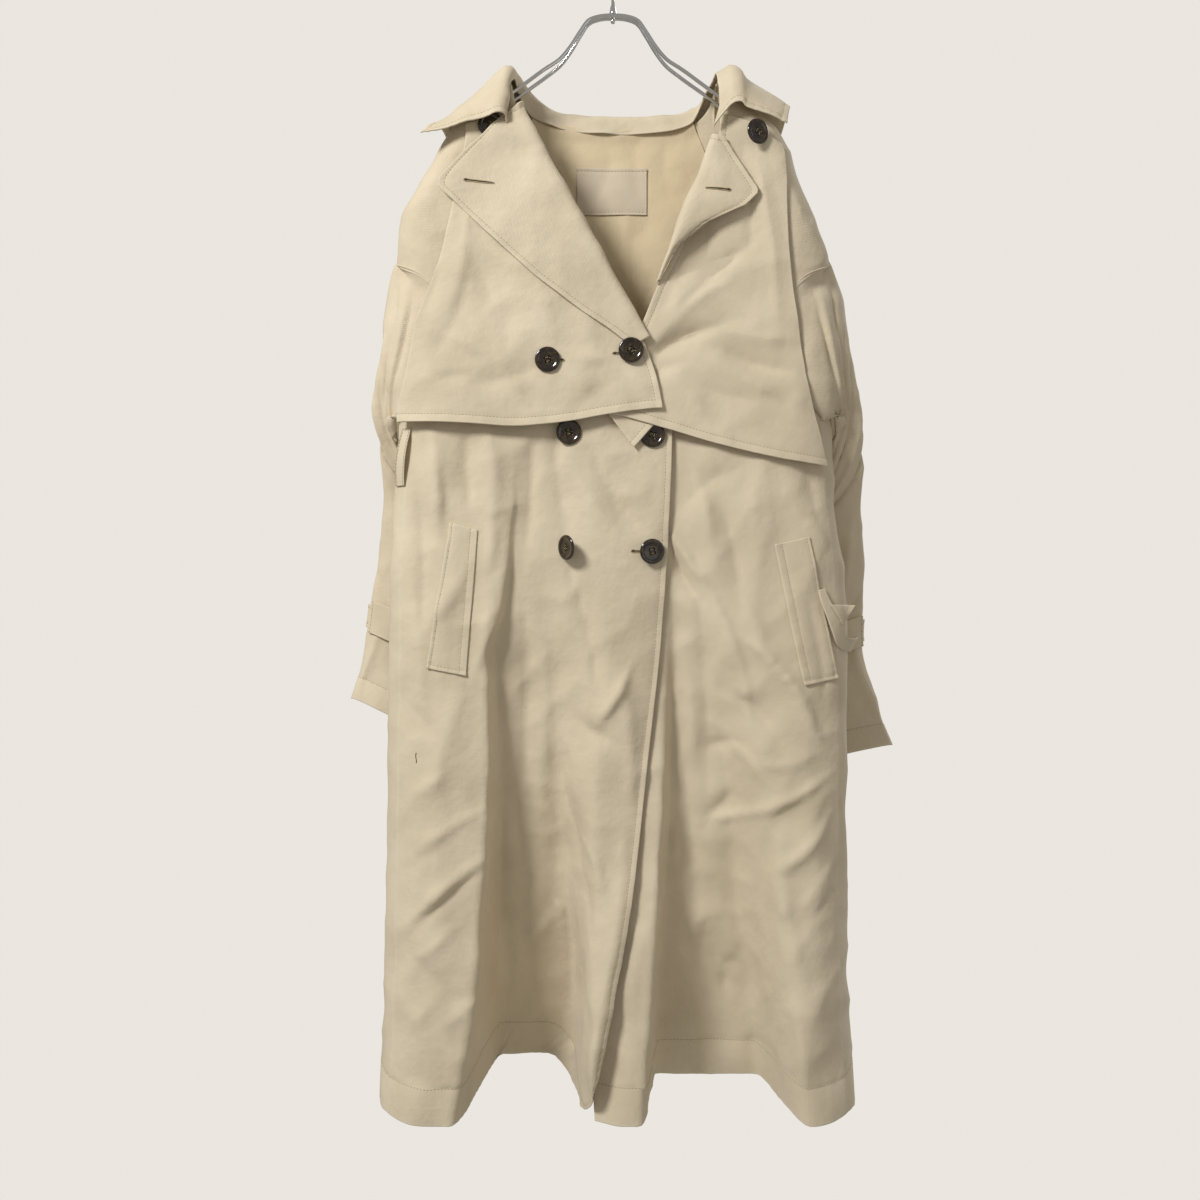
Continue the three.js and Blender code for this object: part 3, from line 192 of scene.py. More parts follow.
# Creases: soft troughs (-) and ridges (+), each along a line from one point to another on the cloth
# that bows to one side, with its width and height.
CREASE = "x0 z0 x1 z1 bow width high"
FRONT_CREASES = table(CREASE,
    # right front: pulls from the buttons and the flank of its middle column
    (-46, -655, -14, -800, 6, 9, -3.2), (-14, -815, 16, -762, -3, 5, 3.0),
    (-30, -820, -2, -838, 0, 7, -2.6), (36, -632, -20, -545, 5, 9, -2.6),
    (24, -640, -40, -560, 6, 10, 1.6), (-44, -640, -60, -480, 5, 12, -2.2),
    (-58, -860, -18, -1052, 6, 6, -3.0), (-34, -930, -8, -990, 3, 4, 1.8),
    (-96, -1050, -50, -1005, -5, 6, 2.0), (-108, -890, -88, -1000, 3, 8, -1.6),
    (-40, -1010, -38, -1110, 2, 6, -2.0), (-118, -1130, -114, -1010, 2, 4, 1.4),
    (5, -770, 18, -900, 6, 9, 1.8), (-8, -1060, 10, -930, -5, 8, 1.6),
    # right front: its outer column
    (-212, -958, -134, -905, 4, 6, 1.5), (-212, -1022, -130, -952, 4, 6, 2.2),
    (-208, -1030, -132, -962, 4, 5, -1.6), (-198, -1046, -160, -1015, -2, 5, 1.6),
    (-196, -1048, -150, -1096, 3, 7, -1.8), (-158, -1016, -138, -1050, 0, 6, -1.5),
    (-206, -1108, -180, -1080, -2, 6, 1.4), (-192, -1086, -172, -1120, 2, 6, -1.6),
    (-206, -1156, -172, -1172, 3, 8, 2.2), (-200, -580, -196, -715, 3, 10, -2.6),
    (-186, -525, -180, -610, 3, 9, 2.2), (-150, -520, -144, -600, -3, 11, -2.4),
    (-128, -520, -122, -610, 3, 11, 2.4), (-84, -515, -90, -640, 3, 13, -3.0),
    (-160, -780, -190, -900, 5, 14, 1.8), (-118, -610, -124, -668, -3, 6, 2.2),
    (-126, -690, -140, -765, 4, 7, 2.4),
    # broad hollows of the middle and of the left front
    (56, -650, -8, -1080, 4, 44, -4.6), (-40, -700, -30, -960, 6, 24, -1.8),
    (66, -700, 74, -1040, 4, 22, -3.4), (110, -820, 120, -1080, 8, 26, -2.6),
    (-172, -700, -176, -1120, 0, 22, 1.8), (196, -860, 206, -1140, 4, 20, 1.6),
    (-106, -880, -100, -1100, -3, 6, 1.6), (-92, -700, -96, -880, 5, 9, -2.0),
    (-70, -740, -78, -920, 4, 8, 1.6), (-60, -900, -66, -1060, 3, 7, -1.6),
    (-36, -860, -50, -930, 3, 5, 1.5), (-20, -940, -34, -1090, 3, 8, -1.8),
    (-150, -660, -190, -720, 4, 9, 1.6), (-208, -800, -160, -860, 5, 9, -1.4),
    (-204, -690, -196, -790, 3, 10, 1.6), (-160, -1100, -128, -1080, 3, 6, 1.4),
    (-210, -900, -170, -870, 3, 6, 1.2), (-176, -560, -168, -640, 2, 8, -1.6),
    # left front: pulls from the button, the pocket's long crease and the skirt
    (84, -560, 100, -640, 4, 9, 1.8), (112, -600, 128, -690, 4, 10, -1.8),
    (100, -700, 124, -790, 5, 7, 1.6), (70, -740, 84, -860, 3, 7, 1.5), (132, -690, 158, -760, 3, 8, 1.5),
    (200, -700, 214, -790, 2, 7, -1.6), (110, -1000, 134, -1090, 3, 8, 1.8),
    (126, -1110, 96, -1030, 2, 6, -1.6), (186, -1030, 216, -990, 3, 6, -1.4),
    (60, -900, 70, -1060, 3, 6, 1.5), (178, -1090, 190, -1170, 3, 7, 1.8),
    (152, -860, 200, -850, -4, 6, 1.3), (60, -620, 92, -672, -2, 4, 2.6),
    (58, -632, 86, -690, -2, 7, -3.2), (92, -672, 140, -838, 12, 5, 1.8),
    (78, -590, 120, -560, 4, 12, -2.0), (132, -730, 208, -830, 10, 6, 3.0),
    (122, -790, 164, -832, 8, 12, -3.0), (188, -800, 206, -828, 0, 4, 1.4),
    (96, -845, 130, -836, 2, 6, -1.6), (122, -838, 154, -880, 2, 4, 1.6),
    (100, -920, 218, -870, -7, 5, 2.6), (94, -928, 122, -892, 2, 7, -2.2),
    (158, -966, 218, -910, -8, 6, 2.6), (150, -1000, 168, -905, 4, 6, -1.8),
    (188, -1004, 220, -960, 2, 6, 1.5), (164, -1060, 218, -962, -5, 6, 1.6),
    (196, -1100, 216, -1064, 2, 7, 1.4), (160, -960, 176, -1012, -4, 10, 2.2),
    (84, -1010, 100, -1110, -4, 7, -2.4), (78, -1000, 88, -1046, 2, 7, 2.6),
    (114, -1102, 136, -1046, 3, 6, -2.2), (146, -1130, 166, -1072, 6, 10, 2.6),
    (150, -1140, 166, -1176, 3, 8, -2.2), (170, -1010, 196, -1150, 8, 16, 2.0),
    (84, -660, 96, -900, 5, 10, -2.0), (190, -540, 206, -600, 4, 13, -2.4),
    (150, -560, 148, -640, -4, 14, 1.8), (196, -610, 220, -640, 4, 9, 2.0),
    (20, -1100, 36, -1010, 6, 9, 2.2), (26, -1060, 24, -1160, 3, 9, -1.6))
CAPE_RIGHT_CREASES = table(CREASE,
    (-178, -300, -196, -402, 6, 12, -2.2), (-150, -260, -172, -420, 8, 14, 1.8),
    (-150, -360, -182, -440, 4, 9, -1.6), (-52, -452, -20, -492, 3, 8, 1.3),
    (-50, -440, -6, -446, -3, 7, 1.0), (-80, -455, -150, -470, 5, 9, -1.2),
    (-176, -420, -120, -450, 3, 7, 1.2), (-120, -380, -90, -500, -8, 14, 1.3),
    (12, -450, 34, -490, 3, 6, 1.2), (-186, -470, -140, -462, 2, 7, -1.2),
    (0, -470, -40, -500, -3, 8, -1.0), (-120, -300, -60, -430, 10, 24, 1.6),
    (-150, -330, -110, -440, 6, 16, -1.6), (-40, -380, -20, -430, 2, 10, 1.2),
    (-98, -478, -60, -506, 3, 8, -1.1))
CAPE_LEFT_CREASES = table(CREASE,
    (38, -442, 106, -412, 4, 8, -3.4), (44, -428, 112, -368, 6, 10, 2.2),
    (66, -398, 136, -330, 4, 12, -3.0), (110, -436, 186, -458, -4, 12, -3.2),
    (92, -446, 180, -500, 6, 12, 1.8), (44, -452, 96, -506, 4, 9, 1.4),
    (150, -482, 186, -500, 2, 8, -1.8), (128, -420, 176, -424, -3, 9, 1.8),
    (150, -250, 168, -400, 4, 10, 1.4), (134, -240, 140, -330, 4, 10, -1.4),
    (96, -300, 60, -370, 4, 22, -3.0), (120, -352, 60, -396, -6, 14, 1.8),
    (84, -470, 150, -490, -3, 10, -1.4), (20, -470, 70, -452, 3, 7, -1.2))
BACK_CREASES = table(CREASE,
    (0, -300, 4, -560, 3, 10, -1.8), (-60, -420, -96, -640, 6, 16, 2.2),
    (66, -400, 110, -660, -6, 16, 2.2), (-110, -700, -128, -1180, 8, 18, -6.0),
    (-40, -760, -50, -1190, -8, 20, 5.5), (36, -720, 40, -1190, 8, 18, -6.5),
    (112, -760, 124, -1190, -8, 20, 5.0), (168, -820, 176, -1190, 6, 14, -4.0),
    (-176, -800, -186, -1190, -6, 14, 4.0), (-190, -420, -120, -470, 8, 10, 2.0),
    (190, -430, 126, -486, -8, 10, 2.0), (-150, -900, -80, -850, 6, 6, 1.8),
    (60, -980, 150, -930, -8, 6, 2.2), (-60, -1060, 20, -1020, 6, 6, 1.6),
    (-130, -560, -70, -600, 4, 8, -1.6), (90, -620, 150, -570, 4, 8, -1.8),
    (-20, -660, 60, -700, 5, 9, 1.5))
# Creases of the sleeves, by ring and by share of the way round from the outer end through the front.
SLEEVE_CREASE = "ring0 turn0 ring1 turn1 bow width high"
SLEEVE_CREASES = table(SLEEVE_CREASE,
    (0.6, 0.02, 2.6, 0.20, 4, 8, -2.6), (0.5, 0.10, 2.2, 0.30, 4, 8, 2.0),
    (2.0, 0.05, 3.4, 0.32, -5, 9, -2.4), (3.0, 0.04, 4.2, 0.28, 5, 8, 2.2),
    (3.8, 0.02, 4.6, 0.30, 4, 7, -2.4), (5.0, 0.10, 6.6, 0.16, 3, 8, 2.2),
    (5.2, 0.22, 7.0, 0.26, -3, 9, -2.2), (7.9, 0.10, 9.6, 0.05, 3, 9, 2.6),
    (7.9, 0.20, 9.8, 0.24, 3, 7, -3.0), (7.9, 0.32, 9.6, 0.36, 3, 8, 2.4),
    (0.8, 0.70, 2.6, 0.88, 4, 8, -2.4), (2.6, 0.66, 3.8, 0.94, 5, 9, 2.2),
    (4.0, 0.62, 4.8, 0.90, -4, 8, -2.2), (5.2, 0.80, 7.0, 0.74, 3, 9, 2.0),
    (7.9, 0.66, 9.8, 0.62, 3, 8, -2.6), (7.9, 0.82, 9.6, 0.86, 3, 8, 2.4),
    (6.2, 0.02, 7.0, 0.14, 2, 6, -1.8), (6.3, 0.30, 7.1, 0.40, 2, 6, 1.6),
    (0.55, 0.12, 1.5, 0.26, 5, 6, -2.4), (1.2, 0.06, 2.2, 0.34, -4, 4, 1.6),
    (1.5, 0.04, 2.5, 0.30, -4, 4, -1.4), (2.4, 0.10, 3.0, 0.34, 4, 5, 1.6),
    (8.2, 0.27, 9.8, 0.30, 2, 6, -3.0))

WELTS = {
    "right": dict(top_in=(-139, -621), top_out=(-167, -613), low_in=(-150, -769), low_out=(-189, -761)),
    "left": dict(top_in=(165, -636), top_out=(200, -628), low_in=(193, -779), low_out=(228, -772))}
WELT_LIFT = 1.8
CLOTH_CAD, FACED_CAD, SLEEVE_WALL = 1.5, 2.0, 1.5   # walls of the solids that the cloth lies on
SLEEVE_HEM = 24
SLEEVE_TUCK = {"drawn": 2.5, "under": -1.6}   # how a sleeve's head goes in under the armhole's edge
RING_PITCH, GIRTH = 55, 300                   # a sleeve's size, for the creases of its tables
BELT_LOOP = dict(top_x=-212, low_x=-219, top=-515, low=-574, width=9, arch=4)
CORNER = dict(side=(-6, -500), tip=(21, -536), front=(43, -511), hidden=(20, -482), lift=6.1)
NECK_LINING = dict(low=-470, half=150, gap=0.7)
LABEL = dict(left=-38, right=36, top=-232, low=-282)

BUTTON = dict(radius=13, hole=1.15, holes=2.7)
BUTTONS = table("x z off yaw pitch turn",
    (-67, -448, 13.3, 0, 0, 20), (18, -438.5, 15.5, 0, 0, 50), (-45.5, -520, 0.8, 0, 0, 10),
    (40, -523, 0.8, 0, 0, 70), (-46.5, -639, 9.4, -52, 4, 35), (38.5, -643, 3.9, 14, 4, 15),
    (147, -213, 9, 30, 0, 60), (-126, -204, 3, 0, 0, 0))
BUTTON_NODES = ("button_cape_outer", "button_cape_front", "button_waist_outer", "button_waist_front",
                "button_skirt_outer", "button_skirt_front", "button_shoulder_left", "button_shoulder_right")

HANGER_WIRE = 4
HANGER = table("x z apart",
    (0, -80, 4.3), (14, -81, 4.4), (25, -85, 5), (34, -97, 6), (44, -113, 7.5), (56, -128, 9.5),
    (71, -139, 12), (100, -160, 11.6), (140, -189, 17), (160, -204.5, 17), (168, -211.5, 13),
    (171, -214, 6))
HOOK = dict(wire=3.4, inside=19, neck=-50, cone_top=-68, cone_low=-77.2, cone_wide=8, end=-87)


# ---------- camera ----------
CAMERA = dict(place=(-13.65, -1500, -692), view=1428.6, image=1200, sensor=36)


def camera():
    data = bpy.data.cameras.new("camera")
    data.sensor_width = CAMERA["sensor"]
    data.lens = CAMERA["sensor"] * CAMERA["view"] / CAMERA["image"]
    obj = bpy.data.objects.new("camera", data)
    obj.location = Vector(CAMERA["place"]) * MM
    obj.rotation_euler = (math.pi / 2, 0, 0)
    bpy.context.scene.collection.objects.link(obj)
    bpy.context.scene.camera = obj


camera()


# ---------- tools for tables and grids ----------
def mix(a, b, t):
    return a + (b - a) * t


def smooth(v, start, end):
    t = np.clip((v - start) / (end - start), 0, 1)
    return t * t * (3 - 2 * t)


def cubic(y0, y1, slope0, slope1, h, t):
    """A smooth step h wide from y0 to y1, at a share t of it."""
    return ((2 * t**3 - 3 * t**2 + 1) * y0 + (t**3 - 2 * t**2 + t) * h * slope0
            + (3 * t**2 - 2 * t**3) * y1 + (t**3 - t**2) * h * slope1)


def column(tab, name, key="z"):
    """One column of a table as a smooth function of its key column, without overshoot."""
    order = np.argsort(tab[key])
    x, y = tab[key][order], tab[name][order]
    slope = np.diff(y) / np.diff(x)
    before, after = np.r_[slope[0], slope], np.r_[slope, slope[-1]]
    same = before * after > 0
    tangent = np.where(same, 2 * before * after / np.where(same, before + after, 1), 0)

    def at(v):
        v = np.clip(v, x[0], x[-1])
        i = np.clip(np.searchsorted(x, v) - 1, 0, len(x) - 2)
        h = x[i + 1] - x[i]
        return cubic(y[i], y[i + 1], tangent[i], tangent[i + 1], h, (v - x[i]) / h)
    return at


def columns(tab, key="z"):
    return {name: column(tab, name, key) for name in tab if name != key}


def unit(v):
    return v / np.maximum(np.linalg.norm(v, axis=-1, keepdims=True), 1e-9)


def through(points, count):
    """A smooth curve through the middle axis of points (rows, points, xyz), with count places."""
    gaps = np.linalg.norm(np.diff(points, axis=1), axis=2).mean(0)
    s = np.r_[0, np.cumsum(gaps)]
    slope = np.diff(points, axis=1) / gaps[None, :, None]
    w = gaps[1:] / (gaps[1:] + gaps[:-1])
    inner = slope[:, :-1] * w[None, :, None] + slope[:, 1:] * (1 - w)[None, :, None]
    tangent = np.concatenate([slope[:, :1], inner, slope[:, -1:]], axis=1)
    v = np.linspace(0, s[-1], count)
    i = np.clip(np.searchsorted(s, v, side="right") - 1, 0, len(s) - 2)
    h = gaps[i][None, :, None]
    t = ((v - s[i]) / gaps[i])[None, :, None]
    return cubic(points[:, i], points[:, i + 1], tangent[:, i], tangent[:, i + 1], h, t)


def lengths(grid, axis):
    """How far along its line each point of a grid lies."""
    steps = np.linalg.norm(np.diff(grid, axis=axis), axis=2)
    pad = [(1, 0), (0, 0)] if axis == 0 else [(0, 0), (1, 0)]
    return np.cumsum(np.pad(steps, pad), axis=axis)


def respaced(grid, axis, start, end):
    """The same sheet with its lines at even steps, apart from the given distances from both ends."""
    if axis == 0:
        return respaced(grid.transpose(1, 0, 2), 1, start, end).transpose(1, 0, 2)
    s = lengths(grid, 1)
    middle = max(int(round((s[:, -1].mean() - start[-1] - end[-1]) / GRID)), 1)
    out = []
    for row, along in zip(grid, s):
        even = np.linspace(start[-1], along[-1] - end[-1], middle + 1)
        places = np.r_[start[:-1], even, along[-1] - np.array(end[:-1])[::-1]]
        out.append(np.stack([np.interp(places, along, row[:, k]) for k in range(3)], axis=1))
    return np.array(out)


def grid_normals(grid, closed):
    """Unit normals of a grid; closed: each row closes on itself."""
    up = np.gradient(grid, axis=0)
    if closed:
        across = np.roll(grid, -1, axis=1) - np.roll(grid, 1, axis=1)
    else:
        across = np.gradient(grid, axis=1)
    return unit(np.cross(up, across))


def line_relief(a, b, rows, names):
    """Height of soft creases over two coordinates of the cloth, a and b, in millimetres."""
    total = np.zeros(np.shape(a))
    a0, b0, a1, b1 = (rows[name] for name in names)
    for k in range(len(a0)):
        da, db = a1[k] - a0[k], b1[k] - b0[k]
        size = math.hypot(da, db)
        t = ((a - a0[k]) * da + (b - b0[k]) * db) / size**2
        inside = np.clip(t, 0, 1)
        aside = ((a - a0[k]) * -db + (b - b0[k]) * da) / size - rows["bow"][k] * 4 * inside * (1 - inside)
        width = rows["width"][k] * (0.55 + 0.45 * np.sin(math.pi * inside))
        past = (t - inside) * size / (rows["width"][k] * 1.5)
        fade = np.sin(math.pi * np.clip(inside * 0.9 + 0.05, 0, 1)) ** 0.7
        total += rows["high"][k] * fade * np.exp(-np.abs(aside / width) ** 1.25 - past**2)
    return total


def creases(x, z, rows, part):
    return CREASE_SCALES[part] * line_relief(x, z, rows, ("x0", "z0", "x1", "z1"))


def wrinkles(grid, size, seed):
    """A fine unevenness of the cloth, about -1 to 1, from a smooth noise of one size."""
    flat = grid.reshape(-1, 3) / size + seed
    values = [noise.noise(Vector(p)) for p in flat]
    return np.array(values).reshape(grid.shape[:2])


def unevenness(grid):
    """How far the crumpled cloth lies off its smooth form at a grid of places."""
    crumple = 1 - 2.4 * np.abs(wrinkles(grid, 46, 5.3))
    return 0.8 * wrinkles(grid, 85, 3.7) + 1.7 * crumple + 0.3 * wrinkles(grid, 14, 9.1)


# ---------- making cloth ----------
stitch_lines = []


def mesh_object(name, points, faces, uv=None, wear=None):
    mesh = bpy.data.meshes.new(name)
    mesh.from_pydata((np.asarray(points) * MM).tolist(), [], [list(f) for f in faces])
    if uv is not None:
        layer = mesh.uv_layers.new(name="cloth")
        loops = np.zeros(len(mesh.loops), np.int64)
        mesh.loops.foreach_get("vertex_index", loops)
        layer.data.foreach_set("uv", (uv[loops] * MM).ravel())
    if wear is not None:
        mesh.attributes.new("edge_distance", "FLOAT", "POINT").data.foreach_set("value", wear)
    mesh.shade_smooth()
    obj = bpy.data.objects.new(name, mesh)
    bpy.context.scene.collection.objects.link(obj)
    return obj


def border(m, n):
    """Indices of a grid's outer loop and of the points one step in from it."""
    at = np.arange(m * n).reshape(m, n)
    loop = [*at[0, :-1], *at[:-1, -1], *at[-1, :0:-1], *at[:0:-1, 0]]
    i_in, j_in = np.clip(np.arange(m), 1, m - 2), np.clip(np.arange(n), 1, n - 2)
    near = at[np.ix_(i_in, j_in)]
    inner = [*near[0, :-1], *near[:-1, -1], *near[-1, :0:-1], *near[:0:-1, 0]]
    return loop, inner


def shell(name, outer, inner, closed, uv, wear):
    """A sheet with two faces and rounded edges."""
    m, n = outer.shape[:2]
    at = np.arange(m * n).reshape(m, n)
    right = np.roll(at, -1, axis=1) if closed else at[:, 1:]
    base = at if closed else at[:, :-1]
    quads = np.stack([base[:-1], right[:-1], right[1:], base[1:]], axis=-1).reshape(-1, 4)
    centre = outer.reshape(-1, 3)[quads]
    face = np.cross(centre[:, 1] - centre[:, 0], centre[:, 3] - centre[:, 0])
    way = (outer - inner).reshape(-1, 3)[quads[:, 0]]
    if (face * way).sum() < 0:
        quads = quads[:, ::-1]
    points = [outer.reshape(-1, 3), inner.reshape(-1, 3)]
    faces = [*quads.tolist(), *(quads[:, ::-1] + m * n).tolist()]
    uvs, wears = [uv.reshape(-1, 2)] * 2, [wear.ravel()] * 2
    if closed:
        rings = [(at[0], at[1]), (at[-1], at[-2])]
    else:
        loop, near = border(m, n)
        rings = [(np.array(loop), np.array(near))]
    count = 2 * m * n
    for loop, near in rings:
        a, b = points[0][loop], points[1][loop]
        out = unit(a - points[0][near]) * np.linalg.norm(a - b, axis=1, keepdims=True) * 0.4
        points.append((a + b) / 2 + out)
        uvs.append(uvs[0][loop])
        wears.append(wears[0][loop])
        for k in range(len(loop)):
            k2 = (k + 1) % len(loop)
            strip = [(loop[k], loop[k2], count + k2, count + k),
                     (count + k, count + k2, loop[k2] + m * n, loop[k] + m * n)]
            faces += strip
        count += len(loop)
    obj = mesh_object(name, np.concatenate(points), faces, np.concatenate(uvs), np.concatenate(wears))
    face_outwards(obj)
    return obj


def face_outwards(obj):
    """Turns the faces of a closed shell to point outwards, all one way."""
    bm = bmesh.new()
    bm.from_mesh(obj.data)
    bmesh.ops.recalc_face_normals(bm, faces=bm.faces)
    bm.to_mesh(obj.data)
    bm.free()
    obj.data.shade_smooth()


def cloth(name, grid, thickness, facing, stitched=None, closed=False, relief=None, pucker=0.45, uneven=1):
    """A sheet of cloth on a grid of points. facing points out of its right side; stitched gives the
    distance of the stitches from each edge: low, high (rows) and first, last (columns); relief gives
    its creases, pucker how much the stitches draw it up, and uneven how crumpled it is."""
    stitched = stitched or {}

    def ends(edge):
        d = stitched.get(edge)
        return [0, 0.7] if d is None else [0, 0.7, d - 1.2, d, d + 1.2]

    grid = respaced(grid, 0, ends("low"), ends("high"))
    if not closed:
        grid = respaced(grid, 1, ends("first"), ends("last"))
    normal = grid_normals(grid, closed)
    facing = np.asarray(facing(grid) if callable(facing) else facing, float)
    if (normal * facing).sum() < 0:
        normal = -normal
    along_rows, along_columns = lengths(grid, 1), lengths(grid, 0)
    distance = {"low": along_columns, "high": along_columns[-1:] - along_columns}
    if not closed:
        distance.update(first=along_rows, last=along_rows[:, -1:] - along_rows)
    lift = np.zeros(grid.shape[:2])
    for edge, away in stitched.items():
        d = distance[edge]
        run = along_rows if edge in ("low", "high") else along_columns
        # the edge past the stitches stands up, the stitches sink in and the cloth beside them puckers
        wave = np.sin(run * 2 * math.pi / 8.5 + 2.2 * np.sin(run / 23) + 1.3 * np.sin(run / 57 + 1))
        lift += 0.3 * (1 - smooth(d, away - 0.8, away + 0.2)) - 0.35 * np.exp(-((d - away) / 0.8) ** 2)
        lift += pucker * wave * np.exp(-((d - away * 0.7) / (away * 0.8)) ** 2)
    if relief is not None:
        lift += relief(grid)
    lift += uneven * unevenness(grid)
    edge_distance = np.min(np.stack(list(distance.values())), axis=0)
    outer = grid + normal * lift[..., None]
    inner = outer - normal * thickness
    uv = np.stack([along_rows, along_columns], axis=-1)
    m, n = grid.shape[:2]
    trim = {edge: 3 if edge in stitched else 1 for edge in ("low", "high", "first", "last")}
    for edge in stitched:
        k = {"low": 3, "high": m - 4, "first": 3, "last": n - 4}[edge]
        if edge in ("first", "last"):
            cut = slice(trim["low"], m - trim["high"])
            path, up = outer[cut, k], normal[cut, k]
        elif closed:
            path, up = np.r_[outer[k], outer[k, :1]], np.r_[normal[k], normal[k, :1]]
        else:
            cut = slice(trim["first"], n - trim["last"])
            path, up = outer[k, cut], normal[k, cut]
        stitch_lines.append(path + up * 0.1)
    return shell(name, outer, inner, closed, uv, edge_distance)


def dress(obj, slot, finish, *nodes):
    """Gives a piece its finish, its body and the solids that it stands for."""
    obj.data.materials.append(finish)
    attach(obj, "root")
    if nodes:
        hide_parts(*nodes)
    return obj


# ---------- the body's form ----------
body = columns(SECTIONS)
flank = columns(FLANKS)
side_edge = columns(SIDE_EDGES)
front_edges = columns(FRONT_EDGES)
roll_x = {-1: column(RIGHT_LAPEL, "roll_x", "roll_z"), 1: column(LEFT_LAPEL, "roll_x", "roll_z")}
back_neck = column(BACK_NECK, "z", "x")
capes = columns(CAPE_SHAPES)
cape_ends = columns(CAPE_ENDS, "x")


def outline(hand, z):
    return body["left"](z) if hand < 0 else body["right"](z)


def top_line(x):
    """Height of the top line: the back's neckline, or the shoulder where the outline passes x."""
    x = np.asarray(x, float)
    low, high = np.full(x.shape, -230.0), np.full(x.shape, -150.0)
    for _ in range(30):
        middle = (low + high) / 2
        wide = np.where(x < 0, -body["left"](middle), body["right"](middle)) > np.abs(x)
        low, high = np.where(wide, middle, low), np.where(wide, high, middle)
    return np.where((x >= SHOULDER_NECK[-1]) & (x <= SHOULDER_NECK[1]), back_neck(x), low)


def share(x, z):
    """Share of the full depth that is reached at a distance in from the outline."""
    inward = np.minimum(x - body["left"](z), body["right"](z) - x)
    return np.sqrt(1 - np.clip(1 - inward / body["round"](z), 0, 1) ** 2)


def skirt_folds(x, z):
    total = 0
    for k, fold in enumerate(SKIRT_FOLDS):
        t = np.clip((fold["start"] - z) / (fold["start"] - HEM_LEVEL), 0, 1.05)
        (left, turn_left), (right, turn_right) = (
            (flank[f"x{n}"](z), flank[f"turn{n}"](z)) for n in (2 * k + 1, 2 * k + 2))
        total = total + fold["depth"] * t ** fold["growth"] * smooth(x, left - turn_left, left + turn_left) \
            * (1 - smooth(x, right - turn_right, right + turn_right))
    return total


def front_creases(x, z):
    return creases(x, z, FRONT_CREASES, "front") * smooth(z, -470, -500)


def plain_depth(x, z):
    s = share(x, z)
    return mix(body["side"](z), body["front"](z), s) + skirt_folds(x, z) * s


def front_depth(x, z):
    return plain_depth(x, z) - front_creases(x, z) * share(x, z)


def back_depth(x, z):
    s = share(x, z)
    return mix(body["side"](z), body["back"](z), s)


def settled(x, y, z):
    """A point on a side of the body, with the hem rising where it lies further back."""
    fade = np.where(z > HEM_LIFT_TOP, 0, ((HEM_LIFT_TOP - z) / (HEM_LIFT_TOP - HEM_LEVEL)) ** 2)
    return np.stack([x, y, z + HEM_LIFT * y * fade], axis=-1)


def off(x, z, distance, depth=front_depth, way=-1):
    """Points at a distance off the front, + outwards, square to the cloth."""
    slope_x = (depth(x + 1, z) - depth(x - 1, z)) / 2
    slope_z = (depth(x, z + 1) - depth(x, z - 1)) / 2
    step = distance / np.sqrt(1 + slope_x**2 + slope_z**2)
    return settled(x - way * slope_x * step, depth(x, z) + way * step, z - way * slope_z * step)


def on_side(hand, turn, z):
    """x on the side at a turn in degrees from the outline."""
    return outline(hand, z) - hand * body["round"](z) * (1 - np.cos(np.radians(turn)))


def over_edge(z):
    high = mix(roll_x[-1](z) - ROLL["front"], SHOULDER_NECK[-1], smooth(z, -180, -150))
    return np.where(z < V_LOW, front_edges["over"](z), high)


def under_edge(z):
    low = mix(roll_x[1](np.maximum(z, LEFT_V_LOW)) + ROLL["front"], 45, smooth(z, LEFT_V_LOW, V_LOW))
    high = mix(roll_x[1](z) + ROLL["front"], SHOULDER_NECK[1], smooth(z, -214, -150))
    return np.where(z < V_LOW, front_edges["under"](z), np.where(z < LEFT_V_LOW, low, high))


# ---------- fronts and back ----------
SIDE_STEPS = 16
FOLD_STEPS = {-1: (8, 6, 6, 9, 5, 5, 14), 1: (4, 6, 6, 9, 5, 5, 12, 12)}
BODY_HEIGHTS = np.linspace(HEM_LEVEL, YOKE, 262)
YOKE_SHARES = 1 - (1 - np.linspace(0, 1, 44)[1:]) ** 1.7


def flanks(k, z):
    """x before, on and after both flanks of a fold."""
    out = []
    for n in (2 * k + 1, 2 * k + 2):
        x, turn = flank[f"x{n}"](z), flank[f"turn{n}"](z)
        out += [x - turn, x, x + turn]
    return out


def front_columns(hand, start, end, z):
    """Columns of a front from its side to its front edge: in the skirt they follow the folds."""
    first, second = flanks(0, z), flanks(1, z)
    knots = [start, *first, end] if hand < 0 else [start, *second[::-1], first[5], end]
    for at in range(len(knots) - 2, 0, -1):
        knots[at] = np.minimum(knots[at], knots[at + 1] - 3) if hand < 0 else \
            np.maximum(knots[at], knots[at + 1] + 3)
    knots[1] = np.maximum(knots[1], start + 3) if hand < 0 else np.minimum(knots[1], start - 3)
    counts = FOLD_STEPS[hand]
    aligned = [mix(knots[i], knots[i + 1], (k + 1) / count)
               for i, count in enumerate(counts) for k in range(count)]
    total = sum(counts)
    upper = smooth(z, -600, ARMHOLE_BOTTOM)
    return [mix(x, mix(start, end, (k + 1) / total), upper) for k, x in enumerate(aligned)]


def side_columns(hand, way, z):
    gap = np.degrees(SEAM / body["round"](z) / 2)
    edge = side_edge["front" if way < 0 else "back"](z) + gap
    first = np.where(z > ARMHOLE_TOP - 1, 0, edge)
    return [on_side(hand, mix(first, 90, k / SIDE_STEPS), z) for k in range(SIDE_STEPS + 1)]


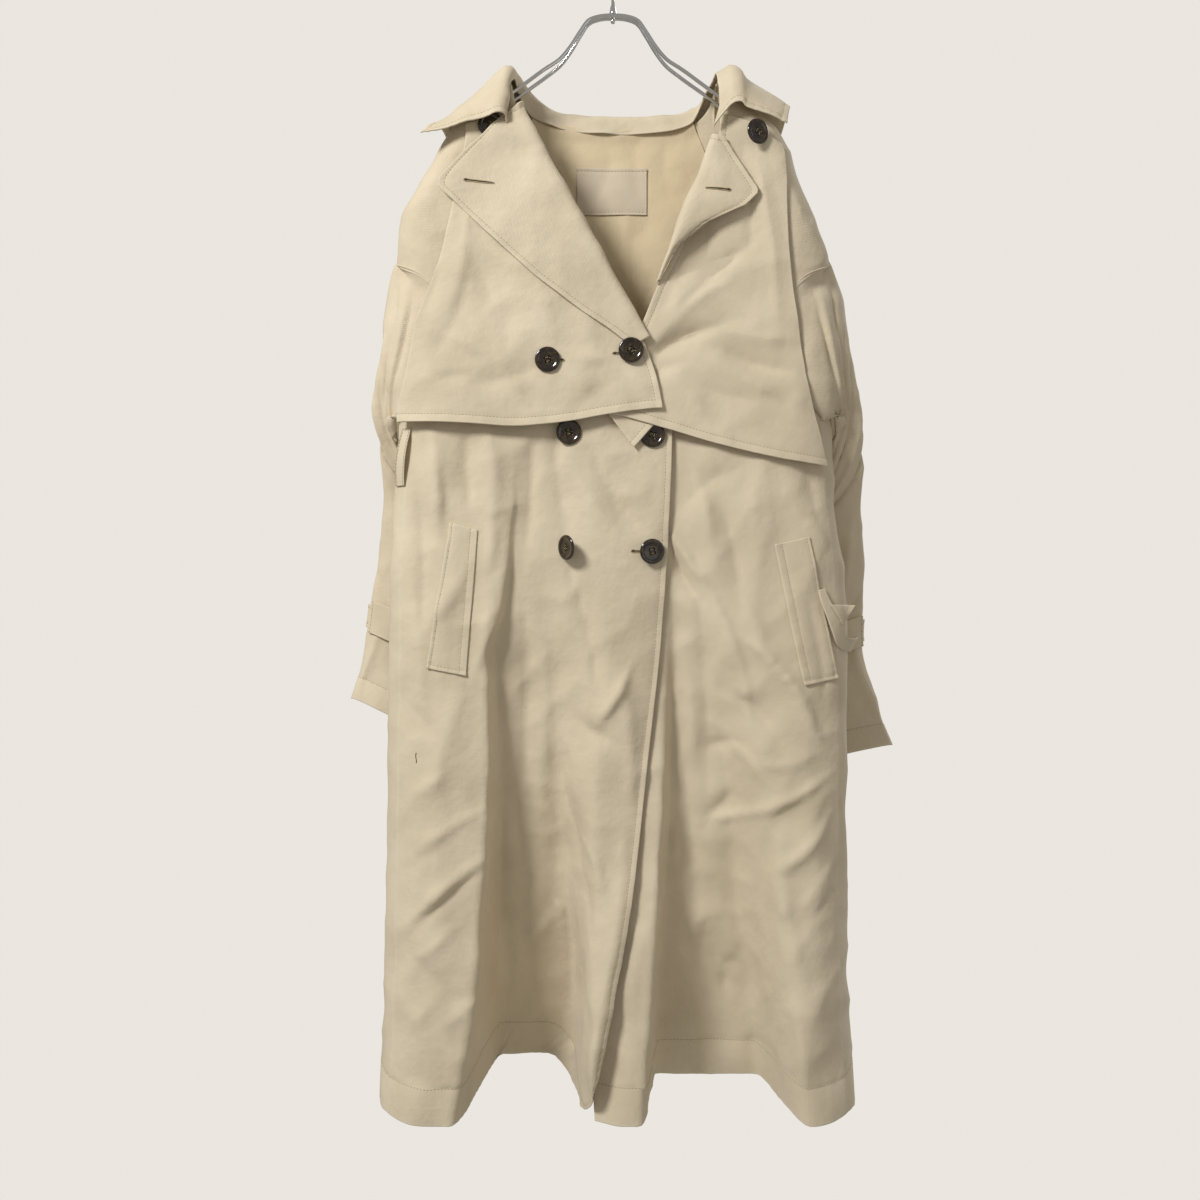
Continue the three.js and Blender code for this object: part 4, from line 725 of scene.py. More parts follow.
def yoke_rows(base, top, first, last):
    """Rows between the yoke line and the top line; first and last are the x of the end columns."""
    k = np.linspace(0, 1, len(base))
    top_z = top_line(top)
    xs, zs = [], []
    for t in YOKE_SHARES:
        z = mix(YOKE, top_z, t)
        x = mix(base, top, t)
        x = x + (1 - k) * (first(z[0]) - x[0]) + k * (last(z[-1]) - x[-1])
        xs.append(x)
        zs.append(z)
    return np.array(xs), np.array(zs)


def lapped(x, z):
    """How far the under front lies behind: doubled near the hem, fading out past the over edge."""
    return UNDERLAP * (1 + smooth(z, -1050, -1130)) * (1 - smooth(z, -400, -340)) \
        * (1 - smooth(x, over_edge(z) + 6, over_edge(z) + 42))


def front(hand, edge, behind):
    z = BODY_HEIGHTS
    side = side_columns(hand, -1, z)
    xs = np.stack([*side, *front_columns(hand, side[-1], edge(z), z)], axis=1)
    zs = np.repeat(z[:, None], xs.shape[1], axis=1)
    base = xs[-1]
    top = mix(SHOULDER_OUTER[hand], SHOULDER_NECK[hand], (base - base[0]) / (base[-1] - base[0]))
    x2, z2 = yoke_rows(base, top, lambda v: outline(hand, v), edge)
    xs, zs = np.concatenate([xs, x2]), np.concatenate([zs, z2])
    if behind:
        grid = settled(xs, front_depth(xs, zs) + behind(xs, zs), zs)
    else:
        near = smooth(xs, over_edge(zs) - 34, over_edge(zs))
        forward = EDGE_FORWARD * near * smooth(zs, -880, -1170) - turned_edge(xs, zs)
        drop = EDGE_DROP * near * smooth(zs, -960, HEM_LEVEL)
        grid = settled(xs, front_depth(xs, zs) - forward, zs) - drop[..., None] * np.array([0, 0, 1.0])
    high = zs > ARMHOLE_TOP - 1
    grid[..., 1] = np.where(high, np.minimum(grid[..., 1], -SEAM), grid[..., 1])
    return grid


def turned_edge(x, z):
    """How far the over front's edge turns back near the hem, where it shows its dark side."""
    steep = mix(0.2, 1.2, smooth(z, -960, -1090)) * smooth(z, -880, -960)
    return np.clip(x - over_edge(z) + 10, 0, None) * steep


def back():
    z = BODY_HEIGHTS
    left, right = side_columns(-1, 1, z), side_columns(1, 1, z)[::-1]
    count = 104
    across = [mix(left[-1], right[0], (k + 1) / count) for k in range(count - 1)]
    xs = np.stack([*left, *across, *right], axis=1)
    zs = np.repeat(z[:, None], xs.shape[1], axis=1)
    base = xs[-1]
    n = len(base)
    shoulder = 34
    neck = np.linspace(SHOULDER_NECK[-1], SHOULDER_NECK[1], n - 2 * shoulder)
    top = np.r_[np.linspace(SHOULDER_OUTER[-1], SHOULDER_NECK[-1], shoulder, endpoint=False), neck,
                np.linspace(SHOULDER_NECK[1], SHOULDER_OUTER[1], shoulder + 1)[1:]]
    x2, z2 = yoke_rows(base, top, body["left"], body["right"])
    xs, zs = np.concatenate([xs, x2]), np.concatenate([zs, z2])
    ys = back_depth(xs, zs)
    # columns at a negative turn lie on the front's side of the outline
    for hand, cols in ((-1, range(SIDE_STEPS + 1)), (1, range(n - SIDE_STEPS - 1, n))):
        for c in cols:
            k = c if hand < 0 else n - 1 - c
            first = np.where(z > ARMHOLE_TOP - 1, 0,
                             side_edge["back"](z) + np.degrees(SEAM / body["round"](z) / 2))
            turn = mix(first, 90, k / SIDE_STEPS)
            ys[: len(z), c] = np.where(turn < 0, front_depth(xs[: len(z), c], z), ys[: len(z), c])
    ys[len(z):] = np.maximum(ys[len(z):], SEAM)
    return settled(xs, ys, zs)


def back_relief(grid):
    x, z = grid[..., 0], grid[..., 2]
    fade = smooth(np.minimum(x - body["left"](z), body["right"](z) - x), 4, 40)
    return creases(x, z, BACK_CREASES, "back") * fade


# ---------- sleeves ----------
AROUND = 92


def armhole(hand):
    """Points of the armhole: down its front edge from the top and up its back edge."""
    a = 2 * math.pi * np.arange(AROUND) / AROUND
    z = mix(ARMHOLE_BOTTOM, ARMHOLE_TOP, (1 + np.cos(a)) / 2)
    z = np.clip(z, ARMHOLE_BOTTOM, ARMHOLE_TOP)
    ahead = a <= math.pi
    gap = np.degrees(SEAM / body["round"](z)) * np.where(ahead, 1.4, 4)
    turn = np.where(ahead, side_edge["front"](z), side_edge["back"](z)) - gap
    x = on_side(hand, turn, z)
    forward = ahead ^ (turn < 0)
    y = np.where(forward, plain_depth(x, z), back_depth(x, z))
    rise = np.where(ahead, 5, 7) * SEAM * np.where(ahead, smooth(z, -455, -508), smooth(z, -455, -485))
    z = z + rise
    z[0] -= SEAM * 2
    return np.stack([x, y, z], axis=1)


def sleeve_rings(hand, tab, at):
    """Rings of a sleeve at an array of ring numbers."""
    hole = armhole(hand)
    quarter = AROUND // 4
    middles = {}
    for name, k in (("outer", 0), ("front", quarter), ("inner", 2 * quarter), ("back", 3 * quarter)):
        rows = {"ring": np.r_[0, tab["ring"]]}
        for axis, letter in enumerate("xyz"):
            rows[letter] = np.r_[hole[k, axis], tab[f"{name}_{letter}"]]
        middles[name] = np.stack([column(rows, letter, "ring")(at) for letter in "xyz"], axis=-1)
    centre = (middles["outer"] + middles["inner"]) / 2
    half = (middles["outer"] - middles["inner"]) / 2
    a = 2 * math.pi * np.arange(AROUND) / AROUND
    bulge = np.where((a <= math.pi)[None, :, None], (middles["front"] - centre)[:, None],
                     (middles["back"] - centre)[:, None])
    shaped = centre[:, None] + half[:, None] * np.cos(a)[None, :, None] \
        + bulge * (np.abs(np.sin(a)) ** 0.8)[None, :, None]
    return mix(hole[None], shaped, smooth(at, 0, 0.5)[:, None, None])


def moved(grid, distance):
    """A sheet moved out along its own normals."""
    return grid + grid_normals(grid, False) * distance


def outward(grid):
    return grid - grid.mean(axis=1, keepdims=True)


def around(grid, distance):
    """A closed sheet moved outwards."""
    normal = grid_normals(grid, True)
    way = 1 if (normal * outward(grid)).sum() > 0 else -1
    return grid + normal * distance * way


def sleeve(name, hand, tab):
    rings = np.linspace(0, 10, 190)
    tuck = (1 - smooth(rings, 0.02, 0.2))[:, None, None]
    grid = sleeve_rings(hand, tab, rings)
    grid = around(grid - unit(grid[6] - grid[0]) * SLEEVE_TUCK["drawn"] * tuck,
                  mix(SLEEVE_WALL, SLEEVE_TUCK["under"], tuck))
    numbers = np.repeat(rings[:, None], AROUND, axis=1)
    turns = np.repeat(np.arange(AROUND)[None] / AROUND, len(rings), axis=0)
    lift = sleeve_relief(numbers, turns) * smooth(numbers, 0, 0.6)
    return cloth(name, around(grid, lift[..., None]), CLOTH, outward, {"high": SLEEVE_HEM}, closed=True)


def sleeve_relief(numbers, turns):
    """Creases of a sleeve at a ring number and a share of the way round."""
    rows = dict(SLEEVE_CREASES)
    for name in ("ring0", "ring1"):
        rows[name] = SLEEVE_CREASES[name] * RING_PITCH
    for name in ("turn0", "turn1"):
        rows[name] = SLEEVE_CREASES[name] * GIRTH
    return CREASE_SCALES["sleeve"] * line_relief(numbers * RING_PITCH, turns * GIRTH, rows,
                                                 ("ring0", "turn0", "ring1", "turn1"))


# ---------- capes, lapels, collar ----------
def cape(hand):
    side = "right" if hand < 0 else "left"
    edge_side, edge_front, lift = (capes[f"{side}_{part}"] for part in ("side", "front", "lift"))
    hem, top = cape_ends[side], cape_ends[side + "_top"]
    t, s = np.meshgrid(np.linspace(0, 1, 110), np.linspace(0, 1, 90), indexing="ij")
    x, z = np.zeros(t.shape), mix(hem(0), top(0), t)
    for _ in range(6):
        x = mix(edge_side(z), edge_front(z), s)
        z = mix(hem(x), top(x), t)
    return off(x, z, lift(z), plain_depth)


def cape_lift(hand, z):
    return capes["right_lift"](z) if hand < 0 else capes["left_lift"](z)


def cape_relief(rows):
    return lambda grid: creases(grid[..., 0], grid[..., 2], rows, "front")


def flap_corner():
    t, s = np.meshgrid(np.linspace(0, 1, 16), np.linspace(0, 1, 16), indexing="ij")
    x, z = (mix(mix(CORNER["side"][k], CORNER["tip"][k], s),
                mix(CORNER["hidden"][k], CORNER["front"][k], s), t) for k in (0, 1))
    return off(x, z, CORNER["lift"], plain_depth)


def lapel(hand, tab):
    """Rows from the V up to the gorge; each row starts at the root behind the roll."""
    t = np.linspace(0, 1, 90)
    at = {name: f(t) for name, f in columns(tab, "t").items()}
    for name in ("edge_x", "edge_z"):
        at[name] = np.interp(t, tab["t"], tab[name])
    reach = np.hypot(at["edge_x"] - at["roll_x"], at["edge_z"] - at["roll_z"])

    def place(inward, distance):
        share_in = inward / reach
        return off(mix(at["roll_x"], at["edge_x"], share_in), mix(at["roll_z"], at["edge_z"], share_in),
                   distance, plain_depth)

    outer = cape_lift(hand, at["roll_z"]) + FACED_CAD + at["stand"]
    middle = (outer + at["root"]) / 2
    lines = []
    for k in range(5):
        a = math.pi * (k - 2) / 4
        lines.append(place(ROLL["width"] * (1 - math.cos(a)), middle + (outer - middle) * math.sin(a)))
    lines[0] = place(np.full(len(t), ROLL["base"]), at["root"])
    for part in (0.15, 0.35, 0.6, 0.8, 0.93, 1):
        inward = mix(ROLL["width"], reach, part)
        z = mix(at["roll_z"], at["edge_z"], inward / reach)
        lines.append(place(inward, cape_lift(hand, z) + FACED_CAD + at["stand"] * (1 - 0.35 * part**2)))
    return through(np.stack(lines, axis=1), 50)


def collar():
    t = np.linspace(0, 1, 190)
    at = {name: f(t) for name, f in columns(COLLAR, "t").items()}
    base, fold, edge = (np.stack([at[f"{line}_{axis}"] for axis in "xyz"], axis=1)
                        for line in ("base", "fold", "edge"))
    up = unit(fold - base)
    out = edge - base
    out = unit(out - up * (out * up).sum(axis=1, keepdims=True)) * COLLAR_BEND
    inside = smooth(base[:, 1:2], 10, 24)
    base = base - up * 3.5 * inside
    lines = [mix(base, fold, k) - out / 2 for k in (0, 0.5, 0.85)]
    lines.append(fold + out / 2 + up * 1.5)
    lines += [mix(fold + out * 1.4 * (1 - k), edge, k) for k in (0.12, 0.35, 0.6, 0.82, 1)]
    return moved(through(np.stack(lines, axis=1), 60), FACED_CAD)


def collar_relief(grid):
    """Rumples across the back of the collar's stand, as seen through the neck opening."""
    return creases(grid[..., 0], grid[..., 2], COLLAR_CREASES, "collar") * smooth(grid[..., 1], 8, 16)


# ---------- inside the neck ----------
def inside_back(x, z, gap):
    return np.stack([x, back_depth(x, z) - CLOTH_CAD - gap, z], axis=-1)


def neck_lining():
    t, s = np.meshgrid(np.linspace(0, 1, 90), np.linspace(0, 1, 84), indexing="ij")
    top_x = mix(-84, 85, s)
    x = mix(mix(-NECK_LINING["half"], NECK_LINING["half"], s), top_x, t ** 1.5)
    z = mix(NECK_LINING["low"], top_line(top_x) + 3, t ** 0.8)
    seam = top_line(top_x)
    grid = inside_back(x, z, NECK_LINING["gap"] + 1.2 * smooth(z, seam - 14, seam - 60))
    pleat = 1.6 * np.exp(-np.abs((x - 15) / 3)) * smooth(z, -255, -300)
    grid[..., 1] -= 1.5 * smooth(z, seam - 14, seam) + pleat
    return grid


def neck_label():
    t, s = np.meshgrid(np.linspace(0, 1, 16), np.linspace(0, 1, 22), indexing="ij")
    x, z = mix(LABEL["left"], LABEL["right"], s), mix(LABEL["low"], LABEL["top"], t)
    return inside_back(x, z, NECK_LINING["gap"] + 2.6)


# ---------- welts, belt loop, straps ----------
def welt(top_in, top_out, low_in, low_out):
    t, s = np.meshgrid(np.linspace(0, 1, 48), np.linspace(0, 1, 14), indexing="ij")
    x, z = (mix(mix(low_out[k], low_in[k], s), mix(top_out[k], top_in[k], s), t) for k in (0, 1))
    return off(x, z, WELT_LIFT)


def belt_loop():
    t, s = np.meshgrid(np.linspace(0, 1, 30), np.linspace(-0.5, 0.5, 6), indexing="ij")
    x = mix(BELT_LOOP["low_x"], BELT_LOOP["top_x"], t) + s * BELT_LOOP["width"]
    z = mix(BELT_LOOP["low"], BELT_LOOP["top"], t)
    return off(x, z, 2.3 + BELT_LOOP["arch"] * np.sin(math.pi * t))


def round_cuff(hand, tab, more, layers):
    at = np.linspace(CUFF_STRAP["from"] - more, CUFF_STRAP["to"] + more, 14)
    return around(sleeve_rings(hand, tab, at), layers * (CUFF_STRAP["lift"] + CLOTH_CAD) + CLOTH_CAD)


def keeper(hand, tab):
    grid = round_cuff(hand, tab, 0.12, 2)
    return grid[:, AROUND // 16: AROUND * 3 // 16 + 1]


def strap_end(points, lift):
    """A strap's end lying on the coat's side: pairs of edge points (x, z) and how far each pair lies off."""
    first, last = (np.array([row[k] for row in points], float) for k in (0, 1))
    s = np.linspace(0, 1, 9)[None, :]
    x, z = (mix(first[:, k, None], last[:, k, None], s) for k in (0, 1))
    y = plain_depth(np.minimum(x, outline(1, z) - 4), z) - np.array(lift)[:, None]
    return through(np.stack([x, y, z], axis=-1).transpose(1, 0, 2), 24).transpose(1, 0, 2)


# ---------- buttons ----------
def button_mesh():
    """A dished four-hole button facing +Z, with its back flat."""
    r_out = BUTTON["radius"]
    radii = np.r_[np.linspace(0.25, 5.2, 18), np.linspace(5.7, 8.6, 6),
                  9.2, 9.8, 10.4, 11, 11.6, 12.2, 12.6, 12.85]
    profile = column({"r": np.array([0, 4.6, 8.4, 9.6, 11, 12.2, 12.8, 13.0]),
                      "z": np.array([2.1, 2.1, 2.25, 2.85, 3.05, 2.8, 2.2, 1.6])}, "z", "r")
    side = [(r_out, 1.5), (r_out - 0.3, 0.7), (r_out - 1.2, 0.1), (r_out - 3, 0)]
    around_count = 56
    a = 2 * math.pi * np.arange(around_count) / around_count
    points, marks = [(0, 0, 2.1)], [0.0]
    for r in radii:
        for angle in a:
            x, y = r * math.cos(angle), r * math.sin(angle)
            z = float(profile(r))
            near = min(math.hypot(x - BUTTON["holes"] * math.cos(h), y - BUTTON["holes"] * math.sin(h))
                       for h in (math.pi / 4, 3 * math.pi / 4, 5 * math.pi / 4, 7 * math.pi / 4))
            sink = float(1 - smooth(near, BUTTON["hole"] - 0.15, BUTTON["hole"] + 0.35))
            points.append((x, y, z - 1.7 * sink))
            marks.append(sink)
    for r, z in side:
        for angle in a:
            points.append((r * math.cos(angle), r * math.sin(angle), z))
            marks.append(0.0)
    points.append((0, 0, 0))
    marks.append(0.0)
    rings = len(radii) + len(side)
    faces = [(0, 1 + k, 1 + (k + 1) % around_count) for k in range(around_count)]
    for i in range(rings - 1):
        base = 1 + i * around_count
        for k in range(around_count):
            k2 = (k + 1) % around_count
            faces.append((base + k, base + around_count + k, base + around_count + k2, base + k2))
    last = 1 + (rings - 1) * around_count
    faces += [(last + k, len(points) - 1, last + (k + 1) % around_count) for k in range(around_count)]
    return np.array(points), faces, marks


def tube(path, radius, sides=10, closed=False):
    """Points and faces of a round tube along a path."""
    path = np.asarray(path, float)
    radius = np.broadcast_to(radius, len(path))
    along = np.roll(path, -1, axis=0) - np.roll(path, 1, axis=0) if closed else np.gradient(path, axis=0)
    along = unit(along)
    flat = np.array([0, 1.0, 0]) - along * along[:, 1:2]
    small = np.linalg.norm(flat, axis=1) < 0.1
    flat[small] = np.array([1.0, 0, 0]) - along[small] * along[small, 0:1]
    flat = unit(flat)
    upright = np.cross(along, flat)
    a = 2 * math.pi * np.arange(sides) / sides
    points = (path[:, None] + radius[:, None, None] * (flat[:, None] * np.cos(a)[None, :, None]
              + upright[:, None] * np.sin(a)[None, :, None])).reshape(-1, 3)
    m = len(path)
    faces = []
    for i in range(m if closed else m - 1):
        for k in range(sides):
            a0, b0 = i * sides + k, i * sides + (k + 1) % sides
            a1, b1 = (i + 1) % m * sides + k, (i + 1) % m * sides + (k + 1) % sides
            faces.append((a0, b0, b1, a1))
    if not closed:
        faces += [tuple(range(sides))[::-1], tuple((m - 1) * sides + k for k in range(sides))]
    return points, faces


def joined(parts):
    """Several point-and-face sets as one."""
    points, faces, start = [], [], 0
    for some, those in parts:
        points.append(np.asarray(some))
        faces += [tuple(start + k for k in face) for face in those]
        start += len(some)
    return np.concatenate(points), faces


def smooth_path(points, step, closed=False):
    """A smooth line through points at even steps."""
    points = np.asarray(points, float)
    if closed:
        points = np.concatenate([points[-3:], points, points[:3]])
    s = np.r_[0, np.cumsum(np.linalg.norm(np.diff(points, axis=0), axis=1))]
    slope = np.gradient(points, s, axis=0)
    start, end = (s[3], s[-3]) if closed else (s[0], s[-1])
    count = max(int((end - start) / step), 4)
    v = np.linspace(start, end, count + 1)[: count if closed else count + 1]
    i = np.clip(np.searchsorted(s, v, side="right") - 1, 0, len(s) - 2)
    h = (s[i + 1] - s[i])[:, None]
    t = ((v - s[i]) / (s[i + 1] - s[i]))[:, None]
    return cubic(points[i], points[i + 1], slope[i], slope[i + 1], h, t)


# ---------- materials ----------
def linear(colour):
    """An sRGB hex colour as linear RGBA."""
    parts = [int(colour[k:k + 2], 16) / 255 for k in (1, 3, 5)]
    return (*[v / 12.92 if v <= 0.04045 else ((v + 0.055) / 1.055) ** 2.4 for v in parts], 1.0)


def node(tree, kind, links=(), numbered=(), **settings):
    """Adds a node, links (socket, from node, from socket) and sets its values: numbered sockets, named
    ones with __ for a space, and properties after set_."""
    new = tree.nodes.new(kind)
    for key, value in settings.items():
        if key.startswith("set_"):
            setattr(new, key[4:], value)
        else:
            new.inputs[key.replace("__", " ")].default_value = value
    for socket, value in numbered:
        new.inputs[socket].default_value = value
    for socket, source, output in links:
        tree.links.new(source.outputs[output], new.inputs[socket])
    return new


def finish_of(name):
    material = bpy.data.materials.new(name)
    material.use_nodes = True
    tree = material.node_tree
    return material, tree, tree.nodes["Principled BSDF"]


def set_sockets(shader, **values):
    for key, value in values.items():
        shader.inputs[key.replace("__", " ")].default_value = value


TWILL_PERIOD = 0.0016   # the twill's lines, coarser than the real 0.5 mm so that they show
PATCHES, CRUMPLE, FIBRE = 13.0, 110.0, 1400.0   # noise scales: 77 mm patches, 9 mm crumple, 0.7 mm fibres


def twill(name, light, dark, worn, relief=1.0):
    """Washed cotton twill: matt, with diagonal lines, soft crumple and slightly paler, worn edges."""
    material, tree, shader = finish_of(name)
    where = node(tree, "ShaderNodeTexCoord")
    uv = node(tree, "ShaderNodeSeparateXYZ", [("Vector", where, "UV")])
    sum_uv = node(tree, "ShaderNodeMath", [(0, uv, "X"), (1, uv, "Y")], set_operation="ADD")
    phase = node(tree, "ShaderNodeMath", [(0, sum_uv, "Value")],
                 [(1, 2 * math.pi / TWILL_PERIOD / math.sqrt(2))], set_operation="MULTIPLY")
    lines = node(tree, "ShaderNodeMath", [(0, phase, "Value")], set_operation="SINE")
    patches = node(tree, "ShaderNodeTexNoise", [("Vector", where, "Object")], Scale=PATCHES, Detail=5.0,
                   Roughness=0.6)
    crumple = node(tree, "ShaderNodeTexNoise", [("Vector", where, "Object")], Scale=CRUMPLE, Detail=3.0,
                   Roughness=0.55)
    fibre = node(tree, "ShaderNodeTexNoise", [("Vector", where, "Object")], Scale=FIBRE, Detail=2.0)
    pale = node(tree, "ShaderNodeMapRange", [("Value", patches, "Fac")], From__Min=0.3, From__Max=0.7)
    blend = node(tree, "ShaderNodeMix", [(0, pale, "Result")], [(6, linear(dark)), (7, linear(light))],
                 set_data_type="RGBA")
    edge = node(tree, "ShaderNodeAttribute", set_attribute_name="edge_distance")
    near = node(tree, "ShaderNodeMapRange", [("Value", edge, "Fac")], From__Min=0.3, From__Max=3.0,
                To__Min=0.25, To__Max=0.0)
    wear = node(tree, "ShaderNodeMix", [(0, near, "Result"), (6, blend, 2)], [(7, linear(worn))],
                set_data_type="RGBA")
    tree.links.new(wear.outputs[2], shader.inputs["Base Color"])
    fine = node(tree, "ShaderNodeMath", [(0, lines, "Value"), (1, fibre, "Fac")], set_operation="ADD")
    weave = node(tree, "ShaderNodeBump", [("Height", fine, "Value")], Strength=0.35 * relief,
                 Distance=0.00012)
    soft = node(tree, "ShaderNodeBump", [("Height", crumple, "Fac"), ("Normal", weave, "Normal")],
                Strength=0.5 * relief, Distance=0.0016)
    tree.links.new(soft.outputs["Normal"], shader.inputs["Normal"])
    set_sockets(shader, Roughness=0.86, Specular__IOR__Level=0.25, Sheen__Weight=0.12, Sheen__Roughness=0.6)
    return material


def plain(name, colour, roughness, metallic=0.0):
    material, _, shader = finish_of(name)
    set_sockets(shader, Base__Color=linear(colour), Roughness=roughness, Metallic=metallic)
    return material


def tortoiseshell():
    """Moulded polyester resin, polished: nearly black, with brown patches of 7 mm and a sharp gloss; its
    sunk holes are painted darker still, as painted shade.
    """
    material, tree, shader = finish_of("button_shell")
    where = node(tree, "ShaderNodeTexCoord")
    mottle = node(tree, "ShaderNodeTexNoise", [("Vector", where, "Object")], Scale=150.0, Detail=3.0,
                  Roughness=0.6, Distortion=1.5)
    ramp = node(tree, "ShaderNodeValToRGB", [("Fac", mottle, "Fac")])
    for stop, place, colour in zip(ramp.color_ramp.elements, (0.42, 0.72), ("#120b08", "#473517")):
        stop.position = place
        stop.color = linear(colour)
    # the sunk holes are mixed to near black by their depth: painted shade in the holes
    hole_shade_mask = node(tree, "ShaderNodeAttribute", set_attribute_name="hole")
    dark = node(tree, "ShaderNodeMix", [(0, hole_shade_mask, "Fac"), (6, ramp, "Color")], [(7, linear("#0a0705"))],
                set_data_type="RGBA")
    tree.links.new(dark.outputs[2], shader.inputs["Base Color"])
    set_sockets(shader, Roughness=0.16, Coat__Weight=0.6)
    return material


COAT = twill("coat_twill", "#d8cab0", "#cabca1", "#dfd6c0")
# The same twill inside the neck, a little warmer, and painted about as bright as the lit coat although it
# lies in shade: painted light.
INSIDE_PAINTED_LIGHT = twill("inside_twill_cloth_painted_light", "#d8c7a6", "#d2c09e", "#dccdae", relief=0.7)
# Woven satin, blank: greyer and smoother than the cloth round it.
LABEL_CLOTH = twill("label_satin", "#d2c4ae", "#c8b9a2", "#d9ccb8", relief=0.4)
SHELL = tortoiseshell()
# Spun polyester thread, matt: the seams' thread is painted darker than the cloth, as painted shade in the
# grooves that the stitches sink into; brown where it holds the buttons.
THREAD_WITH_SHADE = plain("sewing_thread_painted_shade", "#a9997a", 0.7)
BUTTON_THREAD = plain("button_thread", "#77683f", 0.7)
# The shaded inside of a slit between worked edges: nearly black and matt.
SLIT = plain("buttonhole_slit", "#3a3226", 0.9)
# Chromed steel: a bright mirror.
WIRE = plain("chrome_wire", "#d9dadb", 0.12, 1.0)


# ---------- the pieces ----------
FRONT, BACK = (0, -1, 0), (0, 1, 0)
made = {}


def piece(name, obj, slot, finish, *nodes):
    made[name] = dress(obj, slot, finish, *(nodes or (name,)))


def as_made(grid):
    """The way a grid's normals point by the order of its rows and columns."""
    return np.cross(np.gradient(grid, axis=0), np.gradient(grid, axis=1))


HEM = {"low": HEM_STITCH}
EDGE = STITCH["edge"]
piece("front_right", cloth("coat_front_right", front(-1, over_edge, None), CLOTH, FRONT,
                           {"low": HEM_STITCH, "last": EDGE}), "twill", COAT)
piece("front_left", cloth("coat_front_left", front(1, under_edge, lapped), CLOTH, FRONT, HEM), "twill", COAT)
piece("back_panel", cloth("coat_back", back(), CLOTH, BACK, HEM, relief=back_relief), "twill", COAT)
for side, hand, tab in (("right", -1, RIGHT_SLEEVE), ("left", 1, LEFT_SLEEVE)):
    piece("sleeve_" + side, sleeve("coat_sleeve_" + side, hand, tab), "twill", COAT)
    strap = cloth("coat_cuff_strap_" + side, round_cuff(hand, tab, 0, 1), CLOTH, outward,
                  {"low": 3.5, "high": 3.5}, closed=True)
    piece("cuff_strap_" + side, strap, "twill", COAT)
    piece("cuff_keeper_" + side, cloth("coat_cuff_keeper_" + side, keeper(hand, tab), CLOTH,
                                       (hand, -1, 0), {"first": 2, "last": 2}), "twill", COAT)
STRAP_ENDS = {
    "rolled": ([((210, -682), (217, -680)), ((213, -695), (222, -692)), ((218, -710), (229, -706)),
                ((223, -725), (235, -721)), ((229, -739), (241, -731)), ((239, -744), (248, -732)),
                ((247, -745), (254, -731)), ((250, -745), (257, -730))],
               (2.4, 4.5, 6.5, 6.5, 5, 1, -14, -36)),
    "pointed": ([((223, -697), (249, -698)), ((227, -704), (244, -704.5)), ((231, -711), (239, -711)),
                 ((233.8, -717), (235.6, -717))], (8.5, 9, 9, 8.5))}
for part, (points, lift) in STRAP_ENDS.items():
    tongue = cloth(f"coat_strap_end_{part}", strap_end(points, lift), CLOTH, FRONT)
    made["strap_end_" + part] = dress(tongue, "twill", COAT)
piece("storm_flap_right", cloth("coat_cape_right", cape(-1), CLOTH, FRONT, {"low": 8, "last": EDGE},
                                relief=cape_relief(CAPE_RIGHT_CREASES)), "twill", COAT)
piece("storm_flap_left", cloth("coat_cape_left", cape(1), CLOTH, FRONT, {"low": 8, "last": EDGE},
                               relief=cape_relief(CAPE_LEFT_CREASES)), "twill", COAT)
piece("storm_flap_left_corner", cloth("coat_cape_corner", flap_corner(), CLOTH, FRONT, {"last": EDGE}),
      "twill", COAT)
piece("lapel_right", cloth("coat_lapel_right", lapel(-1, RIGHT_LAPEL), FACED, as_made,
                           {"last": EDGE, "high": 5}, pucker=0.4), "twill", COAT)
piece("lapel_left", cloth("coat_lapel_left", lapel(1, LEFT_LAPEL), FACED, lambda g: -as_made(g),
                          {"last": EDGE, "high": 5}, pucker=0.4), "twill", COAT)
piece("collar", cloth("coat_collar", collar(), FACED, as_made, {"last": EDGE, "low": EDGE, "high": EDGE},
                      relief=collar_relief, pucker=0.4), "twill", COAT)
# the neck's inside cloth is painted brighter than its shade would leave it: painted light
piece("back_lining", cloth("coat_neck_lining", neck_lining(), 0.6, FRONT, uneven=-1), "inside_twill",
      INSIDE_PAINTED_LIGHT)
piece("neck_label", cloth("coat_neck_label", neck_label(), 0.5, FRONT, {"low": 3, "high": 3}, uneven=-1,
                          pucker=0.1), "label", LABEL_CLOTH)
for side, corners in WELTS.items():
    piece("pocket_welt_" + side, cloth("coat_welt_" + side, welt(**corners), 1.4, FRONT,
                                       {"low": 4, "first": 3, "last": 7}), "twill", COAT)
piece("belt_loop", cloth("coat_belt_loop", belt_loop(), 1.1, FRONT, {"first": 1.8, "last": 1.8}, pucker=0.05,
                         uneven=0.1), "twill", COAT)


# ---------- buttons ----------
def turned(points, degrees, a, b):
    """Points turned from axis a towards axis b."""
    c, s = math.cos(math.radians(degrees)), math.sin(math.radians(degrees))
    out = points.copy()
    out[:, a] = points[:, a] * c - points[:, b] * s
    out[:, b] = points[:, a] * s + points[:, b] * c
    return out


def seat(points, x, z, away, yaw, pitch, turn, depth):
    """Points of a button facing +Z, turned on its thread and set off the cloth, front to -Y."""
    spun = turned(points, turn, 0, 1)
    faced = np.stack([spun[:, 0], -spun[:, 2], spun[:, 1]], axis=1)
    faced = turned(turned(faced, pitch, 1, 2), yaw, 0, 1)
    place = off(np.array([x]), np.array([z]), np.array([away]), depth)
    return faced + place - np.array([0, unevenness(place[None])[0, 0], 0])


